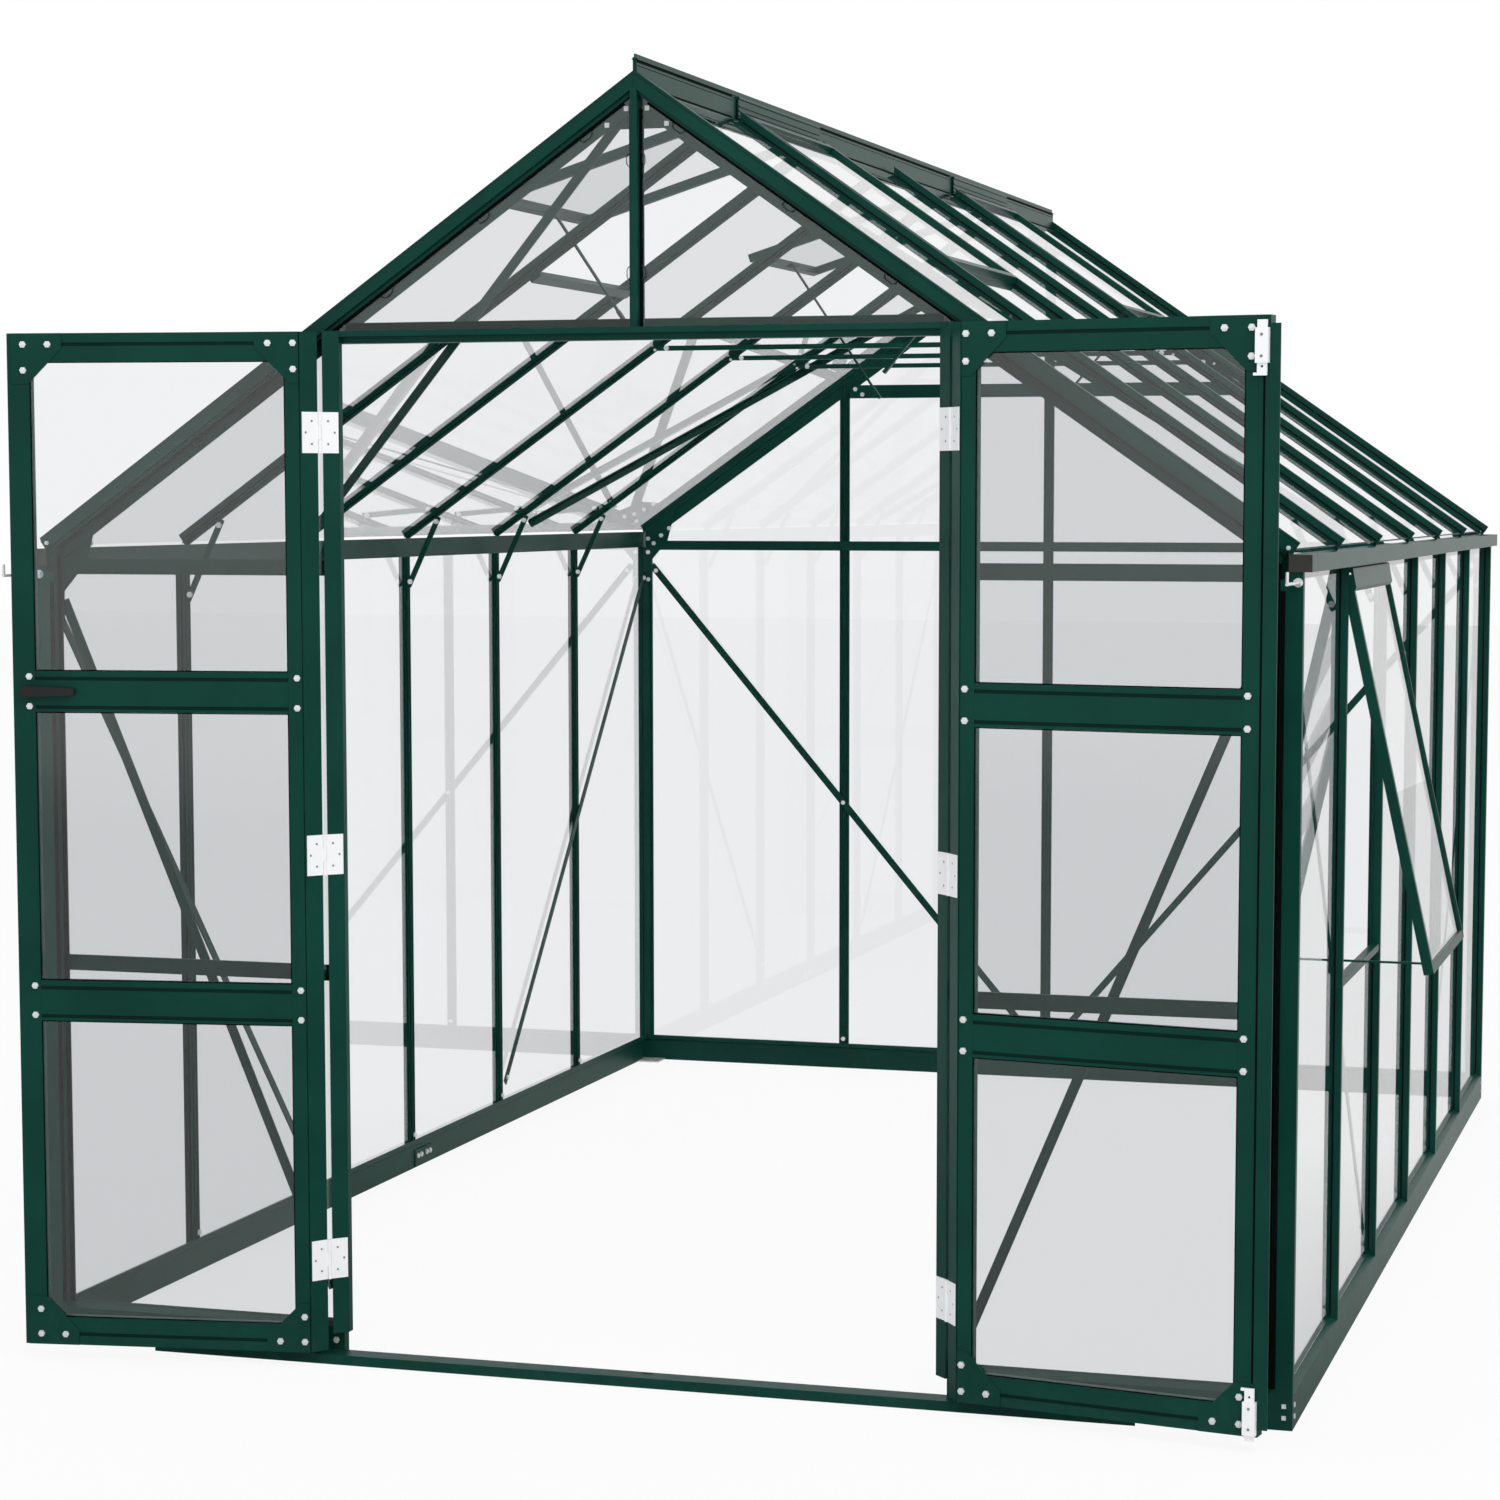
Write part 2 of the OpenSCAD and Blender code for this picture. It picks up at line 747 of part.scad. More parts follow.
module diagonal_braces() {
    wall_braces();
    roof_braces();
}

// Gusset plates at the apex and at the head of each corner post
apex_gusset_half = 95;

module apex_gusset() {
    low_z = roof_z(apex_gusset_half, under_t);
    translate([0, -half_len + bar_d + gusset_t, 0]) rotate([90, 0, 0]) linear_extrude(gusset_t)
        polygon([[-apex_gusset_half, low_z], [-ridge_half, ridge_low], [ridge_half, ridge_low],
            [apex_gusset_half, low_z], [apex_gusset_half - 20, low_z - 8],
            [-apex_gusset_half + 20, low_z - 8]]);
}

module corner_gusset(t) {
    edge_x = side_x - bar_d - brace_t - 0.5;
    translate([0, -half_len + bar_d + t, 0]) rotate([90, 0, 0]) linear_extrude(t)
        polygon([[edge_x, wall_h - 110], [edge_x, roof_z(edge_x, under_t) - 1],
            [edge_x - 96, roof_z(edge_x - 96, under_t)], [edge_x - 70, wall_h + 20],
            [edge_x - 18, wall_h - 40], [edge_x - 18, wall_h - 110]]);
}

module frame_gussets() {
    color(green) both_ends() apex_gusset();
    color(green) four_corners() corner_gusset(gusset_t);
}

module cross_rails() {
    wing_rails();
    rear_rails();
}

// Nuts on a face that looks inward from the right wall, or to the front
module nut_in(y, z, x) { translate([x, y, z]) rotate([0, -90, 0]) nut(); }
module nut_front(x, z, y) { translate([x, y, z]) rotate([90, 0, 0]) nut(); }
module square_head(x, z, y, side = 8) {
    translate([x - side / 2, y - 2.5, z - side / 2]) cube([side, 2.5, side]);
}

module foot_nuts() {
    both_sides() for (k = [1:bays_deep - 1]) nut_in(side_bar_y(k), base_h + 14, side_x - bar_d);
    mirror([0, 1, 0]) for (x = [-bay, 0, bay]) translate([x, -half_len + bar_d, base_h + 14])
        rotate([-90, 0, 0]) nut();
}

module knee_nuts() {
    both_sides() for (k = [1:bays_deep - 1]) for (part = [0.07, 0.93]) {
        place = between(knee_ends, part);
        nut_front(place[0], place[1], side_bar_y(k) - nose_w / 2 - brace_t);
    }
}

// One nut on the tie and a smaller one on the bar's inner nose
module collar_nuts() {
    reach = (apex_z - collar_z) / tan(pitch);
    both_sides() for (k = [1:bays_deep - 1]) {
        face_y = side_bar_y(k) - nose_w / 2;
        nut_front(reach - 66, collar_z + collar_h / 2, face_y);
        nose_x = reach - 36;
        translate([nose_x, face_y, roof_z(nose_x, under_t + 2)]) rotate([90, 0, 0]) nut(7.5);
    }
}

module brace_nuts() {
    both_sides() both_ends() for (part = [0.01, 0.99]) {
        place = between(side_brace, part);
        nut_in(place[0], place[1], side_x - bar_d - brace_t);
    }
    both_sides() for (part = [0.012, 0.985]) {
        place = between(wing_brace, part);
        translate([place[0], wall_brace_y, place[1]]) rotate([-90, 0, 0]) nut();
    }
    crossing = (rear_brace[0][0] - bay) / (rear_brace[0][0] - rear_brace[1][0]);
    mirror([0, 1, 0]) both_sides() for (part = [0.012, crossing, 0.985]) {
        place = between(rear_brace, part);
        translate([place[0], wall_brace_y, place[1]]) rotate([-90, 0, 0]) nut();
    }
}

module corner_heads() {
    four_corners() for (z = [24, 46]) {
        square_head(side_x - 16, z, -half_len);
        translate([side_x, -half_len + 16, z - 4]) cube([2.5, 8, 8]);
    }
}

module splice_nuts() {
    both_sides() for (dy = [-40, -18, 18, 40]) nut_in(splice_y + dy, 30, side_x - base_foot - 3);
}

module gusset_nuts() {
    face_y = -half_len + bar_d + gusset_t;
    corner_x = side_x - bar_d;
    both_ends() both_sides() {
        for (p = [[21, 62], [60, 92]]) {
            translate([p[0], face_y, apex_z - p[1]]) rotate([-90, 0, 0]) nut();
            square_head(p[0], apex_z - p[1], -half_len + foam_d, 9);
        }
        for (p = [[12, -98], [12, -15], [30, 12], [12, 26], [54, 36], [80, 58]])
            translate([corner_x - p[0], face_y, wall_h + p[1]]) rotate([-90, 0, 0]) nut();
    }
}

module rafter_end_bolts() {
    both_sides() both_ends() translate([side_x - 28, -half_len, wall_h + 58]) rotate([90, 0, 0]) nut(9);
}

module lintel_nuts() {
    both_sides() {
        square_head(door_half + 6.5, lintel_top + 15, -half_len + foam_d, 9);
        nut_front(pin_x + post_out / 2, post_foot - 22, -half_len);
        mirror([0, 1, 0]) translate([0, -half_len + bar_d + inner_d, 0])
            for (p = [[bay - 22, 12], [bay - 44, 28]])
                translate([p[0] - 14, 0, rear_rail_top - p[1]]) rotate([-90, 0, 0]) nut();
    }
}

module frame_bolts() {
    color(silver) {
        foot_nuts();
        knee_nuts();
        collar_nuts();
        brace_nuts();
        corner_heads();
        splice_nuts();
        gusset_nuts();
        lintel_nuts();
        rafter_end_bolts();
    }
}

// Extent of a bay between the inner noses, and of a vent between the outer ones
function bay_start(k) = side_bar_y(k) + nose_w / 2;
bay_clear = bay - nose_w;
vent_gap = 1;
vent_start = ridge_half + 16;
vent_end = vent_start + vent_len;
sill_w = 26;
sill_h = 12;
sill_s = vent_end - sill_w + 4;
side_hinge_z = wall_h + eave_head / 2;
knuckle_gap = knuckle_r + pass;
side_hinge_x = side_x + knuckle_gap;
side_sill_top = side_hinge_z - side_vent_len - vent_gap;
side_sill_h = 15;

module roof_sill(side, k) {
    on_side(side) on_slope() translate([sill_s, bay_start(k), under_t + inner_d - sill_h])
        cube([sill_w, bay_clear, sill_h]);
}

// Plate against the side sill with two cheeks on it, between which the side vent's stay slides
guide_out = 30;
guide_len = 14;
guide_t = 3;

module side_stay_guide() {
    gap = side_stay_w / 2 + pass;
    translate([side_x - seat_d - guide_out, side_stay_y, side_sill_top - guide_t]) {
        translate([0, -gap - guide_t, 0]) cube([guide_out - butt, 2 * (gap + guide_t), guide_t]);
        for (y = [-gap - guide_t, gap]) translate([0, y, guide_t + butt])
            cube([guide_len, guide_t, side_stay_rise - guide_t - butt]);
    }
}

module vent_sills() {
    color(green) {
        for (side = [-1, 1]) for (k = [front_vent_bay, rear_vent_bay]) roof_sill(side, k);
        translate([side_x - seat_d, bay_start(front_vent_bay), side_sill_top - side_sill_h])
            cube([seat_d - 2, bay_clear, side_sill_h]);
        side_stay_guide();
        translate([side_x - seat_d + butt, bay_start(front_vent_bay), wall_h])
            cube([seat_d - butt, bay_clear, eave_head - butt]);
    }
}

// Panes
pane_w = bay - 2 * pane_in;
pane_low = base_outer_h + (base_h - base_outer_h) * seat_d / base_t;

module side_pane(side, k, from_z, to_z) {
    on_side(side) translate([side_x - seat_d, side_bar_y(k) + pane_in, from_z])
        cube([glass_t, pane_w, to_z - from_z]);
}

module end_pane(from_x, to_x, from_z, to_z) {
    cut_by_rafters() translate([from_x, -half_len + glass_d, from_z])
        cube([to_x - from_x, glass_t, to_z - from_z]);
}

module side_panes() {
    for (side = [-1, 1]) for (k = [0:bays_deep - 1]) {
        open_bay = side > 0 && k == front_vent_bay;
        side_pane(side, k, pane_low, open_bay ? side_sill_top - side_sill_h : eave_top);
    }
}

module wing_panes() {
    from_x = wing_in + glass_gap;
    to_x = post_nose_x - glass_gap;
    both_sides() {
        end_pane(from_x, to_x, pane_low, wing_mid_z);
        end_pane(from_x, to_x, wing_mid_z + glass_gap, wing_eave_z + wing_rail_h / 2);
        end_pane(from_x, to_x, wing_eave_z + wing_rail_h / 2 + glass_gap, lintel_top);
    }
}

module rear_panes() {
    eave_split = rear_eave_z + rear_eave_h / 2;
    top_split = rear_rail_top - rear_rail_h / 2;
    mirror([0, 1, 0]) both_sides() {
        for (i = [0:1]) {
            from_x = i * bay + pane_in;
            to_x = (i + 1) * bay - pane_in;
            end_pane(from_x, to_x, pane_low, eave_split);
            end_pane(from_x, to_x, eave_split + glass_gap, top_split);
        }
        end_pane(pane_in, bay - pane_in, top_split + glass_gap, apex_z);
    }
}

module wall_glass() {
    color(glass_colour, 0.35) {
        side_panes();
        wing_panes();
        rear_panes();
        both_sides() end_pane(pane_in, pin_x + post_out + seat_d, lintel_top, apex_z);
    }
}

module roof_pane(side, k, from_s) {
    on_side(side) on_slope() translate([from_s, side_bar_y(k) + pane_in, seat_t])
        cube([tip_s - 4 - from_s, pane_w, glass_t]);
}

module roof_glass() {
    color(glass_colour, 0.35) for (side = [-1, 1]) for (k = [0:bays_deep - 1])
        roof_pane(side, k, k == front_vent_bay || k == rear_vent_bay
            ? vent_end + vent_gap : (ridge_half + 4) / cos(pitch) + 10);
}

// Hinges: the knuckles stand around the pin, the plates on the two 45 degree faces
module hinge_plate(z0, z1, own) {
    translate([knuckle_r + pass + 0.3, -chamfer_off, z0])
        cube([hinge_leaf - knuckle_r - pass - 0.3, hinge_t, z1 - z0]);
    if (own) translate([0, -chamfer_off, z0]) cube([knuckle_r + pass + 1, hinge_t, z1 - z0]);
}

module screw_recesses() {
    for (p = [[0.45, 0.22], [0.8, 0.5], [0.45, 0.78]])
        translate([hinge_leaf * p[0], -pass - 0.8, hinge_h * p[1]]) rotate([-90, 0, 0])
            cylinder(r = 2.6, h = 2);
}

module fixed_hinge() {
    third = hinge_h / 3;
    difference() {
        union() {
            hinge_plate(0, third - pass, true);
            hinge_plate(third - pass, 2 * third + pass, false);
            hinge_plate(2 * third + pass, hinge_h, true);
            cylinder(r = knuckle_r, h = third - pass);
            translate([0, 0, 2 * third + pass]) cylinder(r = knuckle_r, h = third - pass);
            cylinder(r = pin_r, h = hinge_h);
        }
        screw_recesses();
    }
}

module moving_hinge() {
    third = hinge_h / 3;
    difference() {
        union() {
            hinge_plate(0, third, false);
            hinge_plate(third, 2 * third, true);
            hinge_plate(2 * third, hinge_h, false);
            translate([0, 0, third]) cylinder(r = knuckle_r, h = third);
        }
        translate([0, 0, -1]) cylinder(r = pin_r + run, h = hinge_h + 2);
        screw_recesses();
    }
}

hinge_zs = [hinge_low_z, hinge_mid_z, hinge_top_z];

module post_hinge_leaves() {
    color(white) both_sides() for (z = hinge_zs)
        translate([pin_x, pin_y, z - hinge_h / 2]) rotate([0, 0, 135]) fixed_hinge();
}

// Door frame of reference: x from the pin to the free edge, y from the outer to the inner face
module at_door(side) {
    on_side(-side) translate([-pin_x, pin_y, 0]) rotate([0, 0, -door_open]) children();
}

free_u = pin_x - door_gap;
free_in = free_u - free_stile_w;
hinge_in = hinge_stile_u + hinge_stile_w;
spindle_u = free_u - 29;

module tube(u0, u1, z0, z1) {
    difference() {
        translate([u0, 0, z0]) cube([u1 - u0, door_t, z1 - z0]);
        translate([u0 + wall, wall, z0 - 1]) cube([u1 - u0 - 2 * wall, door_t - 2 * wall, z1 - z0 + 2]);
    }
}

module door_rail(z0, z1, groove_zs) {
    difference() {
        translate([hinge_in + butt, 0, z0]) cube([free_in - hinge_in - 2 * butt, door_t, z1 - z0]);
        translate([hinge_in - 1, wall, z0 + wall])
            cube([free_in - hinge_in + 2, door_t - 2 * wall - 2, z1 - z0 - 2 * wall]);
        for (z = groove_zs) translate([hinge_in - 1, door_t - 2, z - groove_w / 2])
            cube([free_in - hinge_in + 2, 3, groove_w]);
    }
}

end_groove = 22;
mid_groove = 15;

module door_frame() {
    translate([0, 0, door_under]) linear_extrude(door_top - door_under) polygon([
        [(near + chamfer_off) / sqrt(2) + 0.7, 0], [hinge_stile_u - butt, 0],
        [hinge_stile_u - butt, door_t - 3], [hinge_stile_u - 2, door_t - 3],
        [hinge_stile_u - 2, door_t - 0.6], [door_t - 0.6 + chamfer_b, door_t - 0.6],
        [(near + chamfer_off) / sqrt(2), (near - chamfer_off) / sqrt(2)]]);
    tube(hinge_stile_u, hinge_in, door_under, door_top);
    tube(free_in, free_u, door_under, door_top);
    door_rail(door_top - end_rail_h, door_top, [door_top - end_groove]);
    door_rail(door_under, door_under + end_rail_h, [door_under + end_groove]);
    for (z = [upper_rail_z, lower_rail_z]) door_rail(z - mid_rail_h / 2, z + mid_rail_h / 2,
        [z + mid_rail_h / 2 - mid_groove, z - mid_rail_h / 2 + groove_w + wall]);
}

module left_door_frame() {
    color(green) at_door(-1) difference() {
        door_frame();
        translate([spindle_u, -1, upper_rail_z]) rotate([-90, 0, 0])
            cylinder(d = spindle_d + 2 * pass, h = door_t + 2);
    }
}

module right_door_frame() {
    color(green) at_door(1) door_frame();
}

module door_glass() {
    glass_n = door_t - glass_t - wall;
    zs = [[door_under + end_rail_h, lower_rail_z - mid_rail_h / 2],
        [lower_rail_z + mid_rail_h / 2, upper_rail_z - mid_rail_h / 2],
        [upper_rail_z + mid_rail_h / 2, door_top - end_rail_h]];
    color(glass_colour, 0.35) for (z = zs)
        translate([hinge_in, glass_n, z[0]]) cube([free_in - hinge_in, glass_t, z[1] - z[0]]);
}

module left_door_glass() { at_door(-1) door_glass(); }
module right_door_glass() { at_door(1) door_glass(); }

gusset_edge = free_u - 8;
gusset_end = 30;

module free_gusset() {
    edge = free_u - gusset_edge;
    polygon([[-edge, 0], [-gusset_w, 0], [-gusset_w, gusset_end],
        [-gusset_w + gusset_h - gusset_end, gusset_h],
        [-edge, gusset_h]]);
}

module hinge_gusset() {
    reach = gusset_w - 24;
    polygon([[0, 0], [reach, 0], [reach, gusset_end], [reach - gusset_h + gusset_end, gusset_h],
        [0, gusset_h]]);
}

module plate_up(u, z, up) {
    translate([u, door_t + gusset_t, z]) mirror([0, 0, up ? 0 : 1]) rotate([90, 0, 0])
        linear_extrude(gusset_t) children();
}

module door_gussets() {
    color(green) {
        plate_up(free_u, door_under, true) free_gusset();
        plate_up(free_u, door_top, false) free_gusset();
        plate_up(hinge_stile_u, door_under, true) hinge_gusset();
        plate_up(hinge_stile_u, door_top, false) hinge_gusset();
    }
}

module left_door_gussets() { at_door(-1) door_gussets(); }
module right_door_gussets() { at_door(1) door_gussets(); }

bolt_free_u = free_u - 33.9;
bolt_hinge_u = hinge_stile_u + 9.8;
bolt_step = 50.5;
bolt_edge = 22;

module door_nut(u, n, z) { translate([u, n, z]) rotate([-90, 0, 0]) nut(); }

module door_bolts() {
    plate_n = door_t + gusset_t;
    color(silver) for (u = [bolt_free_u, bolt_hinge_u]) {
        inward = u > bay / 2 ? -bolt_step : bolt_step;
        for (z = [door_under + bolt_edge, door_under + bolt_edge + bolt_step,
                door_top - bolt_edge, door_top - bolt_edge - bolt_step]) door_nut(u, plate_n, z);
        for (z = [door_under + bolt_edge, door_top - bolt_edge]) door_nut(u + inward, plate_n, z);
        for (z = [upper_rail_z, lower_rail_z], dz = [-29.5, 29.5]) door_nut(u, door_t, z + dz);
    }
}

module left_door_bolts() { at_door(-1) door_bolts(); }
module right_door_bolts() { at_door(1) door_bolts(); }

module door_hinges() {
    color(white) for (z = hinge_zs) translate([0, 0, z - hinge_h / 2]) rotate([0, 0, 45]) moving_hinge();
}

module left_door_hinges() { at_door(-1) door_hinges(); }
module right_door_hinges() { at_door(1) door_hinges(); }

astragal_u = gusset_edge;
astragal_w = 27;
astragal_short = 15;

module astragal() {
    color(green) at_door(1) translate([astragal_u, door_t, door_under + astragal_short])
        cube([astragal_w, 3, door_top - door_under - 2 * astragal_short]);
}

case_n_len = tongue_t + 2 * pass + 6;
case_inset = 23;

module bolt_case(z) {
    difference() {
        translate([tongue_u - case_w / 2, case_n, z]) cube([case_w, case_n_len, case_h]);
        translate([tongue_u - tongue_w / 2 - pass, tongue_n - pass, z - 1])
            cube([tongue_w + 2 * pass, tongue_t + 2 * pass, case_h + 2]);
    }
}

module bolt_cases() {
    color(white) at_door(1) {
        bolt_case(door_top - case_inset - case_h);
        bolt_case(door_under + 5);
    }
}

tongue_len = 98;

module tongue() {
    difference() {
        translate([tongue_u - tongue_w / 2, tongue_n, -tongue_len]) cube([tongue_w, tongue_t, tongue_len]);
        translate([tongue_u, tongue_n - 1, -tongue_len + 16]) rotate([-90, 0, 0])
            cylinder(d = 5, h = tongue_t + 2);
    }
    translate([tongue_u - tongue_w / 2 - 7, tongue_n, -tongue_len]) cube([7 - butt, tongue_t, 5]);
}

module top_bolt() {
    color(white) at_door(1) translate([0, 0, door_top - tongue_in]) tongue();
}

module bottom_bolt() {
    color(white) at_door(1) translate([0, 0, threshold_h + 3.5]) mirror([0, 0, 1]) tongue();
}

// Door lever with its roses on both faces of the stile
module lever_outline() {
    circle(r = 11);
    polygon([[0, 11], [-lever_len + 22, 7], [-lever_len + 22, -7], [0, -11]]);
    translate([-lever_len + 22, 0]) circle(r = 7);
}

module lever(n0) {
    translate([spindle_u, n0 + 8, upper_rail_z]) rotate([90, 0, 0]) linear_extrude(8) lever_outline();
}

module door_handle() {
    face = door_t + pass;
    color(black) at_door(-1) {
        translate([spindle_u, -pass - 14, upper_rail_z]) rotate([-90, 0, 0])
            cylinder(d = spindle_d, h = door_t + 2 * pass + 28);
        for (n = [face, -pass - 9]) translate([spindle_u, n, upper_rail_z]) rotate([-90, 0, 0])
            cylinder(r = 10, h = 9);
        lever(face + 7);
        lever(-pass - 15);
    }
}

// Hold-open hooks on the front faces of the corner posts
hook_x = side_x - 9;
hook_z = wall_h - 5;
hook_out = 8;
hook_len = 140;
hook_r = 3;
eye_r = 5;
eye_w = 9;
ear_t = 3;

module hook_bracket() {
    left = -eye_w / 2 - pass - ear_t;
    width = eye_w + 2 * pass + 2 * ear_t - 1;
    translate([hook_x, -half_len, hook_z]) {
        translate([left + width / 2, 0, 0]) rotate([90, 0, 0]) cylinder(r = 8.5, h = 2);
        for (ear = [[left, ear_t], [eye_w / 2 + pass, ear_t - 1]])
            translate([ear[0], -hook_out - 5, -eye_r]) cube([ear[1], hook_out + 4, 2 * eye_r]);
        translate([left, -hook_out, 0]) rotate([0, 90, 0]) cylinder(r = pin_r, h = width);
    }
}

module hook_brackets() {
    color(silver) both_sides() hook_bracket();
}

module hook(side) {
    color(silver) on_side(side) translate([hook_x, -half_len - hook_out, hook_z]) difference() {
        union() {
            translate([-eye_w / 2, 0, 0]) rotate([0, 90, 0]) cylinder(r = eye_r, h = eye_w);
            rotate([90, 0, 0]) cylinder(r = hook_r, h = hook_len);
            translate([0, -hook_len + hook_r, 0]) cylinder(r = hook_r, h = 22);
        }
        translate([-eye_w, 0, 0]) rotate([0, 90, 0]) cylinder(r = pin_r + run, h = 2 * eye_w);
    }
}

module left_hook() { hook(-1); }
module right_hook() { hook(1); }

// Roof vents: a bead in the corner of the ridge plate is the hinge
vent_hinge_x = ridge_plate + knuckle_gap;
vent_hinge_z = apex_z + ridge_up - 11 - knuckle_gap;
vent_low = seat_t + 0.5;
lug_s = vent_end - 30;
lug_t = vent_low + 2.5;

function slope_x(s, t) = s * cos(pitch) + t * sin(pitch);
function slope_z(s, t) = apex_z - s * sin(pitch) + t * cos(pitch);
function slope_point(s, t) = [slope_x(s, t), slope_z(s, t)];

module opened(side, open) {
    on_side(side) translate([vent_hinge_x, 0, vent_hinge_z]) rotate([0, -open, 0])
        translate([-vent_hinge_x, 0, -vent_hinge_z]) children();
}

leg_half = 1.5;
rib = 2.5;
foot_z = ridge_body_top + 2;

module vent_frame(k) {
    y0 = bay_start(k) + vent_gap;
    width = bay_clear - 2 * vent_gap;
    mid_y = side_bar_y(k) + bay / 2;
    translate([0, y0, 0]) along_y(width) {
        translate([vent_hinge_x, vent_hinge_z]) circle(r = knuckle_r);
        polygon([[vent_hinge_x - leg_half, vent_hinge_z], [vent_hinge_x - leg_half, foot_z],
            [ridge_half + 1, foot_z], slope_point(vent_start + 2, vent_low),
            slope_point(vent_start + vent_bar, vent_low), slope_point(vent_start + vent_bar, vent_up),
            slope_point(vent_start, vent_up), [vent_hinge_x + leg_half, foot_z + 6],
            [vent_hinge_x + leg_half, vent_hinge_z]]);
        for (z = [10, 20, 30]) translate([vent_hinge_x, foot_z + z]) square([leg_half + rib, rib]);
    }
    on_slope() translate([vent_start + vent_bar - 1, y0, vent_low]) difference() {
        cube([vent_len - vent_bar + 1, width, vent_up - vent_low]);
        translate([1, vent_bar, -1]) cube([vent_len - 2 * vent_bar, width - 2 * vent_bar, 40]);
    }
    stay_lug(mid_y);
}

lug_half = 10;
stay_w = 12;
stay_t = 5;

module stay_lug(mid_y) {
    on_slope() {
        difference() {
            translate([lug_s - 5, mid_y - lug_half, lug_t - 5])
                cube([vent_end - vent_bar - lug_s + 5.5, 2 * lug_half, 8.5]);
            translate([lug_s - 7, mid_y - stay_w / 2 - pass, lug_t - 7]) cube([13, stay_w + 2 * pass, 13]);
        }
        translate([lug_s, mid_y - lug_half, lug_t]) rotate([-90, 0, 0]) cylinder(r = pin_r, h = 2 * lug_half);
    }
}

module roof_vent(side, k, open) { color(green) opened(side, open) vent_frame(k); }
module left_front_vent() { roof_vent(-1, front_vent_bay, vent_open); }
module left_rear_vent() { roof_vent(-1, rear_vent_bay, vent_open); }
module right_front_vent() { roof_vent(1, front_vent_bay, 0); }
module right_rear_vent() { roof_vent(1, rear_vent_bay, 0); }

module vent_pane(side, k, open) {
    color(glass_colour, 0.35) opened(side, open) on_slope()
        translate([vent_start + vent_bar + butt, bay_start(k) + vent_gap + vent_bar, -glass_t])
            cube([vent_len - 2 * vent_bar - butt, bay_clear - 2 * vent_gap - 2 * vent_bar, glass_t]);
}

module left_front_pane() { vent_pane(-1, front_vent_bay, vent_open); }
module left_rear_pane() { vent_pane(-1, rear_vent_bay, vent_open); }
module right_front_pane() { vent_pane(1, front_vent_bay, 0); }
module right_rear_pane() { vent_pane(1, rear_vent_bay, 0); }

// Stays hang from the lugs towards the middle of the house
left_stay_down = 55.7;
right_stay_down = 49;

module roof_stay(side, k, open, down, len) {
    color(green) opened(side, open)
        translate([slope_x(lug_s, lug_t), side_bar_y(k) + bay / 2, slope_z(lug_s, lug_t)])
        rotate([0, open, 0]) difference() {
            union() {
                rotate([0, 180 - down, 0]) translate([pin_r + 1, -stay_w / 2 + 1, -stay_t / 2])
                    cube([len - 31, stay_w - 2, stay_t]);
                rotate([0, 180 - down, 0]) translate([len - 34, -stay_w / 2 - 1, -stay_t / 2 - 1])
                    cube([34, stay_w + 2, stay_t + 2]);
                translate([0, -stay_w / 2, 0]) rotate([-90, 0, 0]) cylinder(r = eye_r, h = stay_w);
            }
            translate([0, -stay_w, 0]) rotate([-90, 0, 0]) cylinder(r = pin_r + run, h = 2 * stay_w);
        }
}

module left_front_stay() { roof_stay(-1, front_vent_bay, vent_open, left_stay_down, stay_front_len); }
module left_rear_stay() { roof_stay(-1, rear_vent_bay, vent_open, left_stay_down, stay_left_len); }
module right_front_stay() { roof_stay(1, front_vent_bay, 0, right_stay_down, stay_right_len); }
module right_rear_stay() { roof_stay(1, rear_vent_bay, 0, right_stay_down, stay_right_len); }

// Side vent, hung under the gutter of the right wall
side_top = wall_h - 3;
side_low = side_hinge_z - side_vent_len;
side_stay_y = side_bar_y(front_vent_bay) + 128;
side_stay_rise = 38;
side_stay_w = 8;
side_lug_z = side_low + 10;

module side_opened() {
    translate([side_hinge_x, 0, side_hinge_z]) rotate([0, -side_vent_open, 0])
        translate([-side_hinge_x, 0, -side_hinge_z]) children();
}

module side_vent() {
    y0 = bay_start(front_vent_bay) + vent_gap;
    width = bay_clear - 2 * vent_gap;
    out_x = side_x + vent_gap;
    in_x = side_x - seat_d + 0.5;
    lug_slot = side_stay_w / 2 + pass;
    color(green) side_opened() {
        translate([0, y0, 0]) along_y(width) {
            translate([side_hinge_x, side_hinge_z]) circle(r = knuckle_r);
            polygon([[side_hinge_x - 2.5, side_hinge_z - 1], [side_hinge_x + 3, side_hinge_z],
                [out_x + 5, side_top - side_head + 6], [out_x, side_top - side_head],
                [in_x, side_top - side_head], [in_x, side_top], [out_x, side_top]]);
        }
        translate([in_x, y0, side_low]) difference() {
            cube([out_x - in_x, width, side_top - side_head - side_low + 1]);
            translate([-1, vent_bar, vent_bar])
                cube([40, width - vent_bar - side_rear_bar, side_top - side_head - vent_bar - side_low]);
        }
        translate([in_x - 10, side_stay_y - lug_slot - 4, side_lug_z - 5]) difference() {
            cube([10.5, 2 * (lug_slot + 4), 10]);
            translate([-1, 4, -1]) cube([12, 2 * lug_slot, 12]);
        }
        translate([in_x - 5, side_stay_y - lug_slot - 4, side_lug_z]) rotate([-90, 0, 0])
            cylinder(r = pin_r, h = 2 * (lug_slot + 4));
    }
}

module side_vent_pane() {
    pane_x = side_x - glass_d / 2;
    color(glass_colour, 0.35) side_opened()
        translate([pane_x, bay_start(front_vent_bay) + vent_gap + vent_bar, side_low + vent_bar])
            cube([glass_t, bay_clear - 2 * vent_gap - vent_bar - side_rear_bar,
                side_top - side_head - vent_bar - side_low]);
}

side_stay_len = 215;

